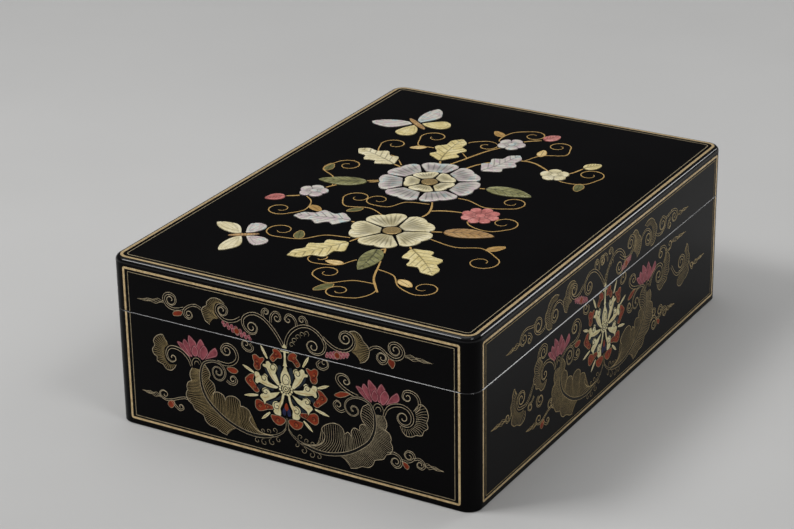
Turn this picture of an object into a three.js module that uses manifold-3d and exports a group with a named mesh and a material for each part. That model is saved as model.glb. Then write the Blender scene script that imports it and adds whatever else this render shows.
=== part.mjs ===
// A black lacquered document box with a flush lid that lifts off. Finger-jointed boards make the
// base and the lid, lip boards inside the base guide the lid, and shell and stone pieces are set
// into the top board. Millimetres, +Z up, X across the box, Y along it, origin under its middle.

import * as THREE from 'three';
import { mergeVertices } from 'three/addons/utils/BufferGeometryUtils.js';
import Module from 'manifold-3d';

const wasm = await Module();
wasm.setup();

// Outer sizes
const BOX_WIDTH = 260;
const BOX_LENGTH = 360;
const BASE_HEIGHT = 79.5;
const LID_HEIGHT = 35.5;
const CORNER_RADIUS = 10;
const TOP_EDGE_RADIUS = 3;
const SEAM_CHAMFER = 0.5;
const FOOT_CHAMFER = 0.7;

// Boards and their joints
const BASE_WALL = 8;
const TOP_BOARD = 6.5;
const TOP_TONGUE = 2;
const FLOOR_BOARD = 5;
const FLOOR_RECESS = 1.5;
const FLOOR_REBATE = 4;
const FINGER_PITCH = 11;

// Lip inside the base
const LIP_BOARD = 3.5;
const LIP_RISE = 9;
const LIP_EASING = 1;
const LID_CLEARANCE = 0.4;

// Inlay
const INLAY_SEAT = 0.8;
const INLAY_RELIEF = 0.7;
const INLAY_EASING = 0.25;
const INLAY_GAP = 0.3;
const PETAL_GAP = 1.3;

// Motifs of the inlay
const DESIGN_GRID = 10;
const PEARL_RADIUS = 34;
const PEARL_RING = 17;
const PEARL_HEART = 5.5;
const CREAM_RADIUS = 27;
const CREAM_HEART = 6;
const CORAL_RADIUS = 13;
const BLOSSOM_RADIUS = 10;
const BUTTERFLY_SPAN = 50;
const SMALL_BUTTERFLY_SPAN = 42;
const LOBED_LEAF = { length: 42, width: 26, bend: 6, lobes: 3 };
const LOBED_LEAF_BACK = { length: 38, width: 24, bend: -6, lobes: 3 };
const PLAIN_LEAF = { length: 33, width: 14, bend: 5, lobes: 0 };
const BUD = { length: 14, width: 10 };

// Facets of round forms
const CORNER_STEPS = 10;
const EDGE_STEPS = 5;
const CURVE_STEPS = 3;
const HEART_STEPS = 14;

// Worked out from the sizes above
const HALF_WIDTH = BOX_WIDTH / 2;
const HALF_LENGTH = BOX_LENGTH / 2;
const LID_WALL = BASE_WALL - LID_CLEARANCE;
const LID_TOP = BASE_HEIGHT + LID_HEIGHT;
const TOP_BOARD_UNDERSIDE = LID_TOP - TOP_BOARD;
const FLOOR_TOP = FLOOR_RECESS + FLOOR_BOARD;
const LIP_TOP = BASE_HEIGHT + LIP_RISE;
const INLAY_FLOOR = LID_TOP - INLAY_SEAT;
const INLAY_TOP = LID_TOP + INLAY_RELIEF;

const finish = (color, roughness, metalness = 0) =>
  new THREE.MeshStandardMaterial({ color, roughness, metalness, flatShading: true });
const BLACK_LACQUER = finish(0x0c0b0e, 0.15);
const INNER_LACQUER = finish(0x141114, 0.4);
const PEARL_SHELL = finish(0xe6dcdc, 0.3);
const CREAM_STONE = finish(0xe8dcae, 0.45);
const YELLOW_STONE = finish(0xd9bf6a, 0.45);
const OCHRE_STONE = finish(0xb98348, 0.5);
const OLIVE_STONE = finish(0x8a8a55, 0.5);
const CORAL_STONE = finish(0xd0726a, 0.45);
const GOLD_METAL = finish(0xd8ae58, 0.35, 1);

// A rectangle with round corners, anticlockwise, drawn in from the box's outer faces by an inset
function roundedRectangle(inset) {
  const radius = CORNER_RADIUS - inset;
  const outline = [];
  for (let quarter = 0; quarter < 4; quarter += 1) {
    const start = quarter * Math.PI / 2;
    const signX = quarter === 0 || quarter === 3 ? 1 : -1;
    const signY = quarter < 2 ? 1 : -1;
    for (let step = 0; step <= CORNER_STEPS; step += 1) {
      const angle = start + step / CORNER_STEPS * Math.PI / 2;
      const x = signX * (HALF_WIDTH - CORNER_RADIUS) + radius * Math.cos(angle);
      const y = signY * (HALF_LENGTH - CORNER_RADIUS) + radius * Math.sin(angle);
      outline.push(new THREE.Vector2(x, y));
    }
  }
  return outline;
}

// A rectangle with square corners, between two corners
function rectangle(xMin, xMax, yMin, yMax) {
  return [
    new THREE.Vector2(xMin, yMin),
    new THREE.Vector2(xMax, yMin),
    new THREE.Vector2(xMax, yMax),
    new THREE.Vector2(xMin, yMax),
  ];
}

// Skins a closed solid over outlines stacked from low to high, all with the same count of points
function loft(sections) {
  const count = sections[0].outline.length;
  const positions = [];
  for (const { outline, z } of sections) {
    for (const point of outline) positions.push(point.x, point.y, z);
  }
  const faces = [];
  for (let level = 0; level < sections.length - 1; level += 1) {
    for (let corner = 0; corner < count; corner += 1) {
      const here = level * count + corner;
      const next = level * count + (corner + 1) % count;
      faces.push(here, next, next + count);
      faces.push(here, next + count, here + count);
    }
  }
  const topStart = (sections.length - 1) * count;
  for (const [a, b, c] of THREE.ShapeUtils.triangulateShape(sections[0].outline, [])) {
    faces.push(c, b, a);
  }
  for (const [a, b, c] of THREE.ShapeUtils.triangulateShape(sections.at(-1).outline, [])) {
    faces.push(topStart + a, topStart + b, topStart + c);
  }
  const geometry = new THREE.BufferGeometry();
  geometry.setAttribute('position', new THREE.Float32BufferAttribute(positions, 3));
  geometry.setIndex(faces);
  return geometry;
}

// Geometry to solid, for cutting and joining
function asSolid(geometry) {
  const merged = mergeVertices(geometry);
  return new wasm.Manifold(new wasm.Mesh({
    numProp: 3,
    vertProperties: merged.getAttribute('position').array,
    triVerts: new Uint32Array(merged.getIndex().array),
  }));
}

// Solid back to geometry
function asGeometry(solid) {
  const { vertProperties, triVerts } = solid.getMesh();
  const geometry = new THREE.BufferGeometry();
  geometry.setAttribute('position', new THREE.BufferAttribute(vertProperties, 3));
  geometry.setIndex(new THREE.BufferAttribute(triVerts, 1));
  return geometry;
}

// A plain block between two corners
function block(xMin, xMax, yMin, yMax, zMin, zMax) {
  const outline = rectangle(xMin, xMax, yMin, yMax);
  return asSolid(loft([{ outline, z: zMin }, { outline, z: zMax }]));
}

// A block centred on the box that stays an inset away from all its outer faces
function centredBlock(inset, zMin, zMax) {
  const x = HALF_WIDTH - inset;
  const y = HALF_LENGTH - inset;
  return block(-x, x, -y, y, zMin, zMax);
}

const join = (solids) => solids.reduce((whole, solid) => whole.add(solid));

const box = new THREE.Group();

function addMesh(name, geometry, material) {
  const mesh = new THREE.Mesh(geometry, material);
  mesh.name = name;
  box.add(mesh);
}

// Outer bodies, before they are divided into boards
function baseBody() {
  return asSolid(loft([
    { outline: roundedRectangle(FOOT_CHAMFER), z: 0 },
    { outline: roundedRectangle(0), z: FOOT_CHAMFER },
    { outline: roundedRectangle(0), z: BASE_HEIGHT - SEAM_CHAMFER },
    { outline: roundedRectangle(SEAM_CHAMFER), z: BASE_HEIGHT },
  ]));
}

function lidBody() {
  const sections = [
    { outline: roundedRectangle(SEAM_CHAMFER), z: BASE_HEIGHT },
    { outline: roundedRectangle(0), z: BASE_HEIGHT + SEAM_CHAMFER },
  ];
  for (let step = 0; step <= EDGE_STEPS; step += 1) {
    const angle = step / EDGE_STEPS * Math.PI / 2;
    sections.push({
      outline: roundedRectangle(TOP_EDGE_RADIUS * (1 - Math.cos(angle))),
      z: LID_TOP - TOP_EDGE_RADIUS * (1 - Math.sin(angle)),
    });
  }
  return asSolid(loft(sections));
}

// The space of each wall board. At each corner the fingers of two boards take turns: the front and
// back boards run through to the outside in the even layers, the side boards in the odd ones.
function wallSpaces(wall, zMin, zMax) {
  const layers = 2 * Math.floor((zMax - zMin) / FINGER_PITCH / 2) + 1;
  const front = [];
  const right = [];
  for (let layer = 0; layer < layers; layer += 1) {
    const low = zMin + (zMax - zMin) * layer / layers;
    const high = zMin + (zMax - zMin) * (layer + 1) / layers;
    const even = layer % 2 === 0;
    const x = even ? HALF_WIDTH : HALF_WIDTH - wall;
    const y = even ? HALF_LENGTH - wall : HALF_LENGTH;
    front.push(block(-x, x, -HALF_LENGTH, wall - HALF_LENGTH, low, high));
    right.push(block(HALF_WIDTH - wall, HALF_WIDTH, -y, y, low, high));
  }
  const frontSpace = join(front);
  const rightSpace = join(right);
  return {
    front: frontSpace,
    back: frontSpace.mirror([0, 1, 0]),
    left: rightSpace.mirror([1, 0, 0]),
    right: rightSpace,
  };
}

// Base: a floor board in a rebate, four walls, and four lip boards standing on the floor
function addBase() {
  const body = baseBody();
  const rebate = centredBlock(BASE_WALL - FLOOR_REBATE, -1, FLOOR_TOP);
  const spaces = wallSpaces(BASE_WALL, 0, BASE_HEIGHT);
  for (const [side, space] of Object.entries(spaces)) {
    const wall = body.intersect(space).subtract(rebate);
    addMesh(`base_${side}_wall`, asGeometry(wall), BLACK_LACQUER);
  }
  const floor = centredBlock(BASE_WALL - FLOOR_REBATE, FLOOR_RECESS, FLOOR_TOP);
  addMesh('base_floor', asGeometry(floor), INNER_LACQUER);
}

// The lip boards line the base, stand above its seam and have their outer top edge eased, so that
// the lid finds its way down over them
function addLip() {
  const x = HALF_WIDTH - BASE_WALL;
  const y = HALF_LENGTH - BASE_WALL;
  const body = asSolid(loft([
    { outline: rectangle(-x, x, -y, y), z: FLOOR_TOP },
    { outline: rectangle(-x, x, -y, y), z: LIP_TOP - LIP_EASING },
    { outline: rectangle(LIP_EASING - x, x - LIP_EASING, LIP_EASING - y, y - LIP_EASING), z: LIP_TOP },
  ]));
  const innerX = x - LIP_BOARD;
  const innerY = y - LIP_BOARD;
  const spaces = {
    front: block(-x, x, -y, -innerY, FLOOR_TOP, LIP_TOP),
    back: block(-x, x, innerY, y, FLOOR_TOP, LIP_TOP),
    left: block(-x, -innerX, -innerY, innerY, FLOOR_TOP, LIP_TOP),
    right: block(innerX, x, -innerY, innerY, FLOOR_TOP, LIP_TOP),
  };
  for (const [side, space] of Object.entries(spaces)) {
    addMesh(`lip_${side}`, asGeometry(body.intersect(space)), INNER_LACQUER);
  }
}

// Lid walls, thinner than the base's by the clearance that the lid keeps round the lip
function addLidWalls(body) {
  const spaces = wallSpaces(LID_WALL, BASE_HEIGHT, TOP_BOARD_UNDERSIDE);
  for (const [side, space] of Object.entries(spaces)) {
    addMesh(`lid_${side}_wall`, asGeometry(body.intersect(space)), BLACK_LACQUER);
  }
}

// Top board: a round-edged board over the walls, with a tongue that sits inside them
function topBoard(body) {
  const board = body.intersect(centredBlock(-1, TOP_BOARD_UNDERSIDE, LID_TOP + 1));
  const tongue = centredBlock(LID_WALL, TOP_BOARD_UNDERSIDE - TOP_TONGUE, LID_TOP - TOP_BOARD / 2);
  return board.add(tongue);
}

// Moves an outline's points out along its corners by a distance, or in where it is negative
function grown(outline, distance) {
  return outline.map((point, index) => {
    const before = outline.at(index - 1);
    const after = outline[(index + 1) % outline.length];
    const normalIn = new THREE.Vector2(point.y - before.y, before.x - point.x).normalize();
    const normalOut = new THREE.Vector2(after.y - point.y, point.x - after.x).normalize();
    const spread = Math.max(0.6, 1 + normalIn.dot(normalOut));
    return normalIn.add(normalOut).multiplyScalar(distance / spread).add(point);
  });
}

// A petal of a flower with a given count of petals, its foot a distance from the flower's middle.
// Its sides keep half the gap from the lines between neighbours, and its end is softly notched.
function petalOutline(foot, length, petals) {
  const widest = 0.62;
  const half = (along) => {
    const reach = foot + along * length;
    return (reach * Math.sin(Math.PI / petals) - PETAL_GAP / 2) / Math.cos(Math.PI / petals);
  };
  const narrow = half(0) * 0.85;
  const wide = half(widest);
  const petal = new THREE.Shape();
  petal.moveTo(-narrow, 0);
  petal.lineTo(narrow, 0);
  petal.quadraticCurveTo(half(widest / 2) * 0.96, length * widest / 2, wide, length * widest);
  petal.quadraticCurveTo(wide * 1.02, length * 0.96, wide * 0.42, length);
  petal.quadraticCurveTo(wide * 0.12, length, 0, length * 0.93);
  petal.quadraticCurveTo(-wide * 0.12, length, -wide * 0.42, length);
  petal.quadraticCurveTo(-wide * 1.02, length * 0.96, -wide, length * widest);
  petal.quadraticCurveTo(-half(widest / 2) * 0.96, length * widest / 2, -narrow, 0);
  return petal.getPoints(CURVE_STEPS).slice(0, -1);
}

// A bent leaf. Its half-width swells and narrows along the midrib, and each lobe bulges from it.
function leafOutline(length, width, bend, lobes) {
  const steps = Math.max(1, lobes) * 4;
  const right = [];
  const left = [];
  for (let step = 1; step < steps; step += 1) {
    const along = step / steps;
    const swell = Math.sin(Math.PI * along ** 0.8) ** 0.7;
    const lobe = lobes ? 0.62 + 0.38 * Math.abs(Math.sin(Math.PI * lobes * along)) : 1;
    const half = width / 2 * swell * lobe;
    const middle = bend * along * along;
    const slope = Math.atan2(2 * bend * along, length);
    const sideX = Math.cos(slope) * half;
    const sideY = -Math.sin(slope) * half;
    right.push(new THREE.Vector2(middle + sideX, along * length + sideY));
    left.unshift(new THREE.Vector2(middle - sideX, along * length - sideY));
  }
  return [new THREE.Vector2(0, 0), ...right, new THREE.Vector2(bend, length), ...left];
}

// A small flower cut from one piece, its petals parted by shallow notches
function blossomOutline(radius, petals) {
  const outline = [];
  const steps = petals * 5;
  for (let step = 0; step < steps; step += 1) {
    const angle = step / steps * Math.PI * 2;
    const reach = radius * (0.74 + 0.26 * Math.abs(Math.cos(petals * angle / 2)) ** 0.6);
    outline.push(new THREE.Vector2(reach * Math.cos(angle), reach * Math.sin(angle)));
  }
  return outline;
}

function ellipseOutline(radiusX, radiusY, steps) {
  const outline = [];
  for (let step = 0; step < steps; step += 1) {
    const angle = step / steps * Math.PI * 2;
    outline.push(new THREE.Vector2(radiusX * Math.cos(angle), radiusY * Math.sin(angle)));
  }
  return outline;
}

// The right forewing and hindwing of a butterfly whose body lies along +Y, for a wing span of 1
function forewingOutline(span) {
  const wing = new THREE.Shape();
  wing.moveTo(0, span * 0.02);
  wing.bezierCurveTo(span * 0.14, span * 0.01, span * 0.34, span * 0.0, span * 0.4, span * 0.14);
  wing.quadraticCurveTo(span * 0.5, span * 0.29, span * 0.46, span * 0.38);
  wing.bezierCurveTo(span * 0.32, span * 0.4, span * 0.09, span * 0.28, 0, span * 0.1);
  return wing.getPoints(CURVE_STEPS + 1);
}

function hindwingOutline(span) {
  const wing = new THREE.Shape();
  wing.moveTo(0, -span * 0.1);
  wing.bezierCurveTo(span * 0.02, -span * 0.22, span * 0.12, -span * 0.37, span * 0.24, -span * 0.34);
  wing.quadraticCurveTo(span * 0.38, -span * 0.27, span * 0.34, -span * 0.12);
  wing.bezierCurveTo(span * 0.26, -span * 0.04, span * 0.08, -span * 0.03, 0, -span * 0.02);
  return wing.getPoints(CURVE_STEPS + 1);
}

const mirrored = (outline) =>
  outline.map((point) => new THREE.Vector2(-point.x, point.y)).reverse();

const shifted = (outline, x, y) =>
  outline.map((point) => new THREE.Vector2(point.x + x, point.y + y));

// The picture stands upright for someone who faces the box's right side: u runs to that person's
// right, along +Y, and v away from them, along -X. An outline grows along +Y of its own, which is
// turned to an angle from u.
function onTop(outline, u, v, degrees) {
  const angle = THREE.MathUtils.degToRad(degrees);
  const cos = Math.cos(angle);
  const sin = Math.sin(angle);
  return outline.map((point) => {
    const pointU = u + point.x * sin + point.y * cos;
    const pointV = v - point.x * cos + point.y * sin;
    return new THREE.Vector2(-pointV, pointU);
  });
}

// Every inlay piece: its name, its outline on the top board and its material
const inlays = [];

// One ring of petals round a flower's middle, between two radii
function addPetals(name, [u, v], inner, outer, petals, turn, material) {
  const outline = shifted(petalOutline(inner, outer - inner, petals), 0, inner);
  for (let petal = 0; petal < petals; petal += 1) {
    const placed = onTop(outline, u, v, turn + 360 / petals * petal);
    inlays.push({ name: `${name}_${petal + 1}`, outline: placed, material });
  }
}

function addHeart(name, [u, v], radius) {
  const outline = onTop(ellipseOutline(radius, radius, HEART_STEPS), u, v, 0);
  inlays.push({ name, outline, material: GOLD_METAL });
}

function addLeaf(name, [u, v], turn, { length, width, bend = 0, lobes = 0 }, material) {
  const outline = onTop(leafOutline(length, width, bend, lobes), u, v, turn);
  inlays.push({ name, outline, material });
}

function addBlossom(name, [u, v], turn, radius, petals, material) {
  inlays.push({ name, outline: onTop(blossomOutline(radius, petals), u, v, turn), material });
}

function addButterfly(name, [u, v], turn, span, foreMaterial, hindMaterial) {
  const bodyHalf = span * 0.04;
  const side = bodyHalf + PETAL_GAP;
  const fore = shifted(forewingOutline(span), side, PETAL_GAP / 2);
  const hind = shifted(hindwingOutline(span), side, -PETAL_GAP / 2);
  const wings = [
    ['forewing_right', fore, foreMaterial],
    ['forewing_left', mirrored(fore), foreMaterial],
    ['hindwing_right', hind, hindMaterial],
    ['hindwing_left', mirrored(hind), hindMaterial],
  ];
  for (const [part, outline, material] of wings) {
    inlays.push({ name: `${name}_${part}`, outline: onTop(outline, u, v, turn), material });
  }
  const body = onTop(ellipseOutline(bodyHalf, span * 0.24, HEART_STEPS), u, v, turn);
  inlays.push({ name: `${name}_body`, outline: body, material: OCHRE_STONE });
}

// A spray with a double and a single peony across the middle of the top, and two butterflies.
// Places are counted in squares of the design grid from the middle of the top, turns in degrees.
function designSpray() {
  const at = (column, row) => [column * DESIGN_GRID, row * DESIGN_GRID];

  const pearl = at(2.2, 1.4);
  addPetals('pearl_peony_outer', pearl, PEARL_RING + PETAL_GAP, PEARL_RADIUS, 7, 15, PEARL_SHELL);
  addPetals('pearl_peony_inner', pearl, PEARL_HEART + PETAL_GAP, PEARL_RING, 5, 40, CREAM_STONE);
  addHeart('pearl_peony_heart', pearl, PEARL_HEART);

  const cream = at(-6.2, -0.6);
  addPetals('cream_peony', cream, CREAM_HEART + PETAL_GAP, CREAM_RADIUS, 5, 40, CREAM_STONE);
  addHeart('cream_peony_heart', cream, CREAM_HEART);

  addLeaf('leaf_1', at(6.0, 2.7), 15, LOBED_LEAF, YELLOW_STONE);
  addLeaf('leaf_2', at(3.9, 5.2), 60, LOBED_LEAF_BACK, CREAM_STONE);
  addLeaf('leaf_3', at(0.3, 5.1), 118, PLAIN_LEAF, OLIVE_STONE);
  addLeaf('leaf_4', at(5.6, -0.7), -24, LOBED_LEAF_BACK, PEARL_SHELL);
  addLeaf('leaf_5', at(2.9, -2.5), -80, PLAIN_LEAF, OLIVE_STONE);
  addLeaf('leaf_6', at(-9.1, 0.9), 155, LOBED_LEAF, YELLOW_STONE);
  addLeaf('leaf_7', at(-6.0, 2.6), 96, LOBED_LEAF_BACK, PEARL_SHELL);
  addLeaf('leaf_8', at(-4.9, -3.6), -66, PLAIN_LEAF, OCHRE_STONE);
  addLeaf('leaf_9', at(-9.2, -1.3), 198, PLAIN_LEAF, OLIVE_STONE);
  addLeaf('leaf_10', at(-8.2, -3.2), 235, LOBED_LEAF, YELLOW_STONE);

  addBlossom('coral_blossom', at(-1.4, -4.4), 0, CORAL_RADIUS, 8, CORAL_STONE);
  addBlossom('blossom_1', at(10.9, -0.2), 10, BLOSSOM_RADIUS, 5, PEARL_SHELL);
  addBlossom('blossom_2', at(7.2, -5.4), 40, BLOSSOM_RADIUS, 5, CREAM_STONE);
  addBlossom('blossom_3', at(-2.8, 7.4), 25, BLOSSOM_RADIUS, 5, PEARL_SHELL);
  addLeaf('bud_1', at(12.7, -1.8), -30, BUD, CORAL_STONE);
  addLeaf('bud_2', at(9.2, -6.6), -35, BUD, YELLOW_STONE);
  addLeaf('bud_3', at(-4.4, 8.6), 135, BUD, CORAL_STONE);

  addButterfly('butterfly_1', at(11.4, 7.6), 55, BUTTERFLY_SPAN, PEARL_SHELL, YELLOW_STONE);
  addButterfly('butterfly_2', at(-11.2, 7.4), 125, SMALL_BUTTERFLY_SPAN, CREAM_STONE, PEARL_SHELL);
}

// Each piece has eased top edges and sits in a pocket that is larger all round by the inlay gap
function addLidTop(body) {
  let board = topBoard(body);
  for (const { name, outline, material } of inlays) {
    const pocket = grown(outline, INLAY_GAP);
    board = board.subtract(asSolid(loft([
      { outline: pocket, z: INLAY_FLOOR },
      { outline: pocket, z: LID_TOP + 1 },
    ])));
    const piece = loft([
      { outline, z: INLAY_FLOOR },
      { outline, z: INLAY_TOP - INLAY_EASING },
      { outline: grown(outline, -INLAY_EASING), z: INLAY_TOP },
    ]);
    addMesh(name, piece, material);
  }
  addMesh('lid_top_board', asGeometry(board), BLACK_LACQUER);
}

designSpray();
addBase();
addLip();
const lid = lidBody();
addLidWalls(lid);
addLidTop(lid);

export default box;
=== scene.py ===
"""Looks of a black lacquered document box with a lift-off lid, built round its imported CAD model.

Blender works in metres, Z up; lengths here are written in millimetres and scaled by MM. The front
of the box looks towards -Y and its right side towards +X. The shapes that dress a CAD node repeat
the sizes and the layout of part.mjs.
"""

import math

import bmesh
import bpy
import numpy as np
from mathutils import Matrix, Vector
from mathutils.geometry import delaunay_2d_cdt


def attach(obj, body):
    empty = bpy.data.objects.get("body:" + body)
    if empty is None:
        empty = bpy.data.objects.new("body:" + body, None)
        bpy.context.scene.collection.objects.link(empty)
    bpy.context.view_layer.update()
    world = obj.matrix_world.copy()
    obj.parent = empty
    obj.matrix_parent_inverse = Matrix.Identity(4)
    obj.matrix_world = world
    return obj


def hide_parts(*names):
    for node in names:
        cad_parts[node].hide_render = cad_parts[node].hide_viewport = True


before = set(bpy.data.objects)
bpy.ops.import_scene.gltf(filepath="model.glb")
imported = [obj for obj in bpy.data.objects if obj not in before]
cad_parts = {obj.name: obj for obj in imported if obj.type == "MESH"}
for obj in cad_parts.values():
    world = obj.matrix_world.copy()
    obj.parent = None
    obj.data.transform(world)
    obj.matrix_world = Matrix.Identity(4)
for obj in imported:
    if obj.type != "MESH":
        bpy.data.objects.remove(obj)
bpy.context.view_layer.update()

MM = 0.001
TAU = 2 * math.pi

# Sizes of the CAD model
HALF_WIDTH = 130
HALF_LENGTH = 180
BASE_HEIGHT = 79.5
LID_TOP = 115
CORNER_RADIUS = 10
TOP_EDGE_RADIUS = 3
SEAM_CHAMFER = 0.5
FOOT_CHAMFER = 0.7
BASE_WALL = 8
LID_WALL = 7.6
FLOOR_REBATE = 4
FLOOR_TOP = 6.5
LID_CEILING = 106.5
INLAY_SEAT = 0.8
INLAY_RELIEF = 0.7
INLAY_GAP = 0.3
PETAL_GAP = 1.3
SIDES = ("front", "back", "left", "right")

# Worked out from these sizes
SEAM_LOW = BASE_HEIGHT - SEAM_CHAMFER
SEAM_HIGH = BASE_HEIGHT + SEAM_CHAMFER
INLAY_FLOOR = LID_TOP - INLAY_SEAT
INLAY_TOP = LID_TOP + INLAY_RELIEF

# Painted work lies this much above the lacquer, and this much of it is sunk in. Strokes differ in
# height by a few small steps, so that no two of them share a plane where they cross.
PAINT = 0.05
SUNK = 0.03
HEIGHT_STEP = 0.001


# Meshes

def add_object(name, vertices, faces, material, slot, body, smooth_angle=None, normals=None):
    """A mesh from vertices in mm, which rides on a body.

    It is smooth up to an angle, or has the normals given for the corners of some of its faces.
    """
    mesh = bpy.data.meshes.new(name)
    mesh.from_pydata((np.asarray(vertices, float) * MM).tolist(), [], [list(f) for f in faces])
    mesh.update()
    mesh.shade_smooth()
    if normals is None:
        mesh.set_sharp_from_angle(angle=math.radians(smooth_angle))
    else:
        corners = []
        for polygon, given in zip(mesh.polygons, normals):
            corners += given or [tuple(polygon.normal)] * polygon.loop_total
        mesh.normals_split_custom_set(corners)
    mesh.materials.append(material)
    obj = bpy.data.objects.new(name, mesh)
    bpy.context.scene.collection.objects.link(obj)
    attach(obj, body)
    return obj


def tilted(way, degrees):
    """A level direction, turned up by an angle."""
    tilt = math.radians(degrees)
    return way[0] * math.cos(tilt), way[1] * math.cos(tilt), math.sin(tilt)


class Skin:
    """Vertices and faces collected for one mesh, with the normals of the corners of some faces."""

    def __init__(self):
        self.vertices = []
        self.faces = []
        self.normals = []

    def add(self, vertices, faces, normals=None):
        start = len(self.vertices)
        self.vertices += [tuple(v) for v in vertices]
        self.faces += [[start + i for i in face] for face in faces]
        self.normals += normals or [None] * len(faces)

    def wall(self, sections, ways=None):
        """Skins outlines of equal point counts, stacked as (outline, z), outward for going up.

        With ways, the level directions out of an outline's points, a section also has the tilt of
        its normals in degrees.
        """
        count = len(sections[0][0])
        vertices = [(*p, section[1]) for section in sections for p in section[0]]
        faces, normals = [], []
        for level in range(len(sections) - 1):
            for i in range(count):
                j = (i + 1) % count
                corners = ((level, i), (level, j), (level + 1, j), (level + 1, i))
                faces.append([row * count + column for row, column in corners])
                if ways:
                    normals.append([tilted(ways[column], sections[row][2])
                                    for row, column in corners])
        self.add(vertices, faces, normals)

    def flat(self, outlines, z, up=True):
        """A level face inside the first outline and outside the others."""
        points, faces = fill(outlines)
        self.add([(*p, z) for p in points], faces if up else [f[::-1] for f in faces])

    def merged(self):
        """Vertices and faces with vertices at one place joined."""
        rounded = np.round(np.array(self.vertices), 5)
        unique, index = np.unique(rounded, axis=0, return_inverse=True)
        faces = [[int(index[i]) for i in face] for face in self.faces]
        return unique, faces


def inside(points, outlines):
    """Which points are inside an odd number of the outlines."""
    points = np.asarray(points, float)
    odd = np.zeros(len(points), bool)
    for outline in outlines:
        a = np.asarray(outline, float)
        b = np.roll(a, -1, axis=0)
        for (ax, ay), (bx, by) in zip(a, b):
            if ay == by:
                continue
            crosses = (ay > points[:, 1]) != (by > points[:, 1])
            at = (bx - ax) * (points[:, 1] - ay) / (by - ay) + ax
            odd ^= crosses & (points[:, 0] < at)
    return odd


def fill(outlines, extra=()):
    """Triangles, anticlockwise, inside an odd number of outlines, with extra points in them."""
    points, edges = [], []
    for outline in outlines:
        start, count = len(points), len(outline)
        points += [Vector(p) for p in outline]
        edges += [(start + i, start + (i + 1) % count) for i in range(count)]
    points += [Vector(p) for p in extra]
    out, _, triangles, _, _, _ = delaunay_2d_cdt(points, edges, [], 0, 1e-6)
    out = np.array([tuple(p) for p in out])
    triangles = np.array(triangles)
    middles = out[triangles].mean(axis=1)
    triangles = triangles[inside(middles, outlines)]
    a, b, c = (out[triangles[:, i]] for i in range(3))
    area = (b - a)[:, 0] * (c - a)[:, 1] - (b - a)[:, 1] * (c - a)[:, 0]
    triangles[area < 0] = triangles[area < 0][:, ::-1]
    triangles = triangles[np.abs(area) > 1e-9]
    used = np.unique(triangles)
    lookup = np.zeros(len(out), int)
    lookup[used] = np.arange(len(used))
    return out[used], lookup[triangles].tolist()


def open_edges(triangles):
    """The edges that have a triangle on one side only."""
    used = dict.fromkeys(pair for a, b, c in triangles for pair in ((a, b), (b, c), (c, a)))
    return [(a, b) for a, b in used if (b, a) not in used]


CORNER_STEPS = 20
CORNER_WAYS = [
    (math.cos(angle), math.sin(angle)) for quarter in range(4)
    for angle in np.linspace(quarter, quarter + 1, CORNER_STEPS + 1) * TAU / 4
]


def rounded_rectangle(inset):
    """A rectangle with round corners, anticlockwise, drawn in from the box's faces by an inset."""
    radius = CORNER_RADIUS - inset
    outline = []
    for place, (x, y) in enumerate(CORNER_WAYS):
        quarter = place // (CORNER_STEPS + 1)
        side_x = 1 if quarter in (0, 3) else -1
        side_y = 1 if quarter < 2 else -1
        outline.append((
            side_x * (HALF_WIDTH - CORNER_RADIUS) + radius * x,
            side_y * (HALF_LENGTH - CORNER_RADIUS) + radius * y,
        ))
    return outline


def rectangle(inset):
    x, y = HALF_WIDTH - inset, HALF_LENGTH - inset
    return [(-x, -y), (x, -y), (x, y), (-x, y)]


# Materials

class Finish:
    """A material of nodes round one Principled shader. Its patterns are in metres of the box."""

    def __init__(self, name, **settings):
        self.material = bpy.data.materials.new(name)
        self.material.use_nodes = True
        self.tree = self.material.node_tree
        self.shader = self.tree.nodes["Principled BSDF"]
        self.set(**settings)
        self.place = self.node("TexCoord").outputs["Object"]

    def feed(self, socket, value):
        """Links a socket to another one, or sets its number or colour."""
        if isinstance(value, bpy.types.NodeSocket):
            self.tree.links.new(value, socket)
        else:
            socket.default_value = (*value, 1) if socket.type == "RGBA" else value

    def set(self, **settings):
        for key, value in settings.items():
            self.feed(self.shader.inputs[key.replace("_", " ")], value)

    def node(self, kind, inputs=None, **settings):
        node = self.tree.nodes.new("ShaderNode" + kind)
        for key, value in settings.items():
            setattr(node, key, value)
        for key, value in (inputs or {}).items():
            self.feed(node.inputs[key], value)
        return node

    def noise(self, scale, detail=3, roughness=0.5, distortion=0, place=None):
        return self.node("TexNoise", {
            "Vector": place or self.place, "Scale": scale, "Detail": detail,
            "Roughness": roughness, "Distortion": distortion,
        }).outputs["Fac"]

    def stretched(self, x, y, z):
        """Coordinates scaled on their own axes."""
        return self.node("Mapping", {"Vector": self.place, "Scale": (x, y, z)}).outputs["Vector"]

    def ramp(self, factor, *stops):
        """Colours, or plain numbers, at places along a factor."""
        ramp = self.node("ValToRGB", {"Fac": factor})
        elements = ramp.color_ramp.elements
        while len(elements) < len(stops):
            elements.new(0.5)
        for element, (position, value) in zip(elements, stops):
            element.position = position
            color = value if isinstance(value, tuple) else (value,) * 3
            element.color = (*color, 1)
        return ramp.outputs["Color"]

    def mix(self, factor, a, b):
        return self.node("Mix", {0: factor, 6: a, 7: b}, data_type="RGBA").outputs[2]

    def bump(self, height, millimetres, under=None):
        inputs = {"Height": height, "Distance": millimetres * MM, "Strength": 1.0}
        if under:
            inputs["Normal"] = under
        return self.node("Bump", inputs).outputs["Normal"]


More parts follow.
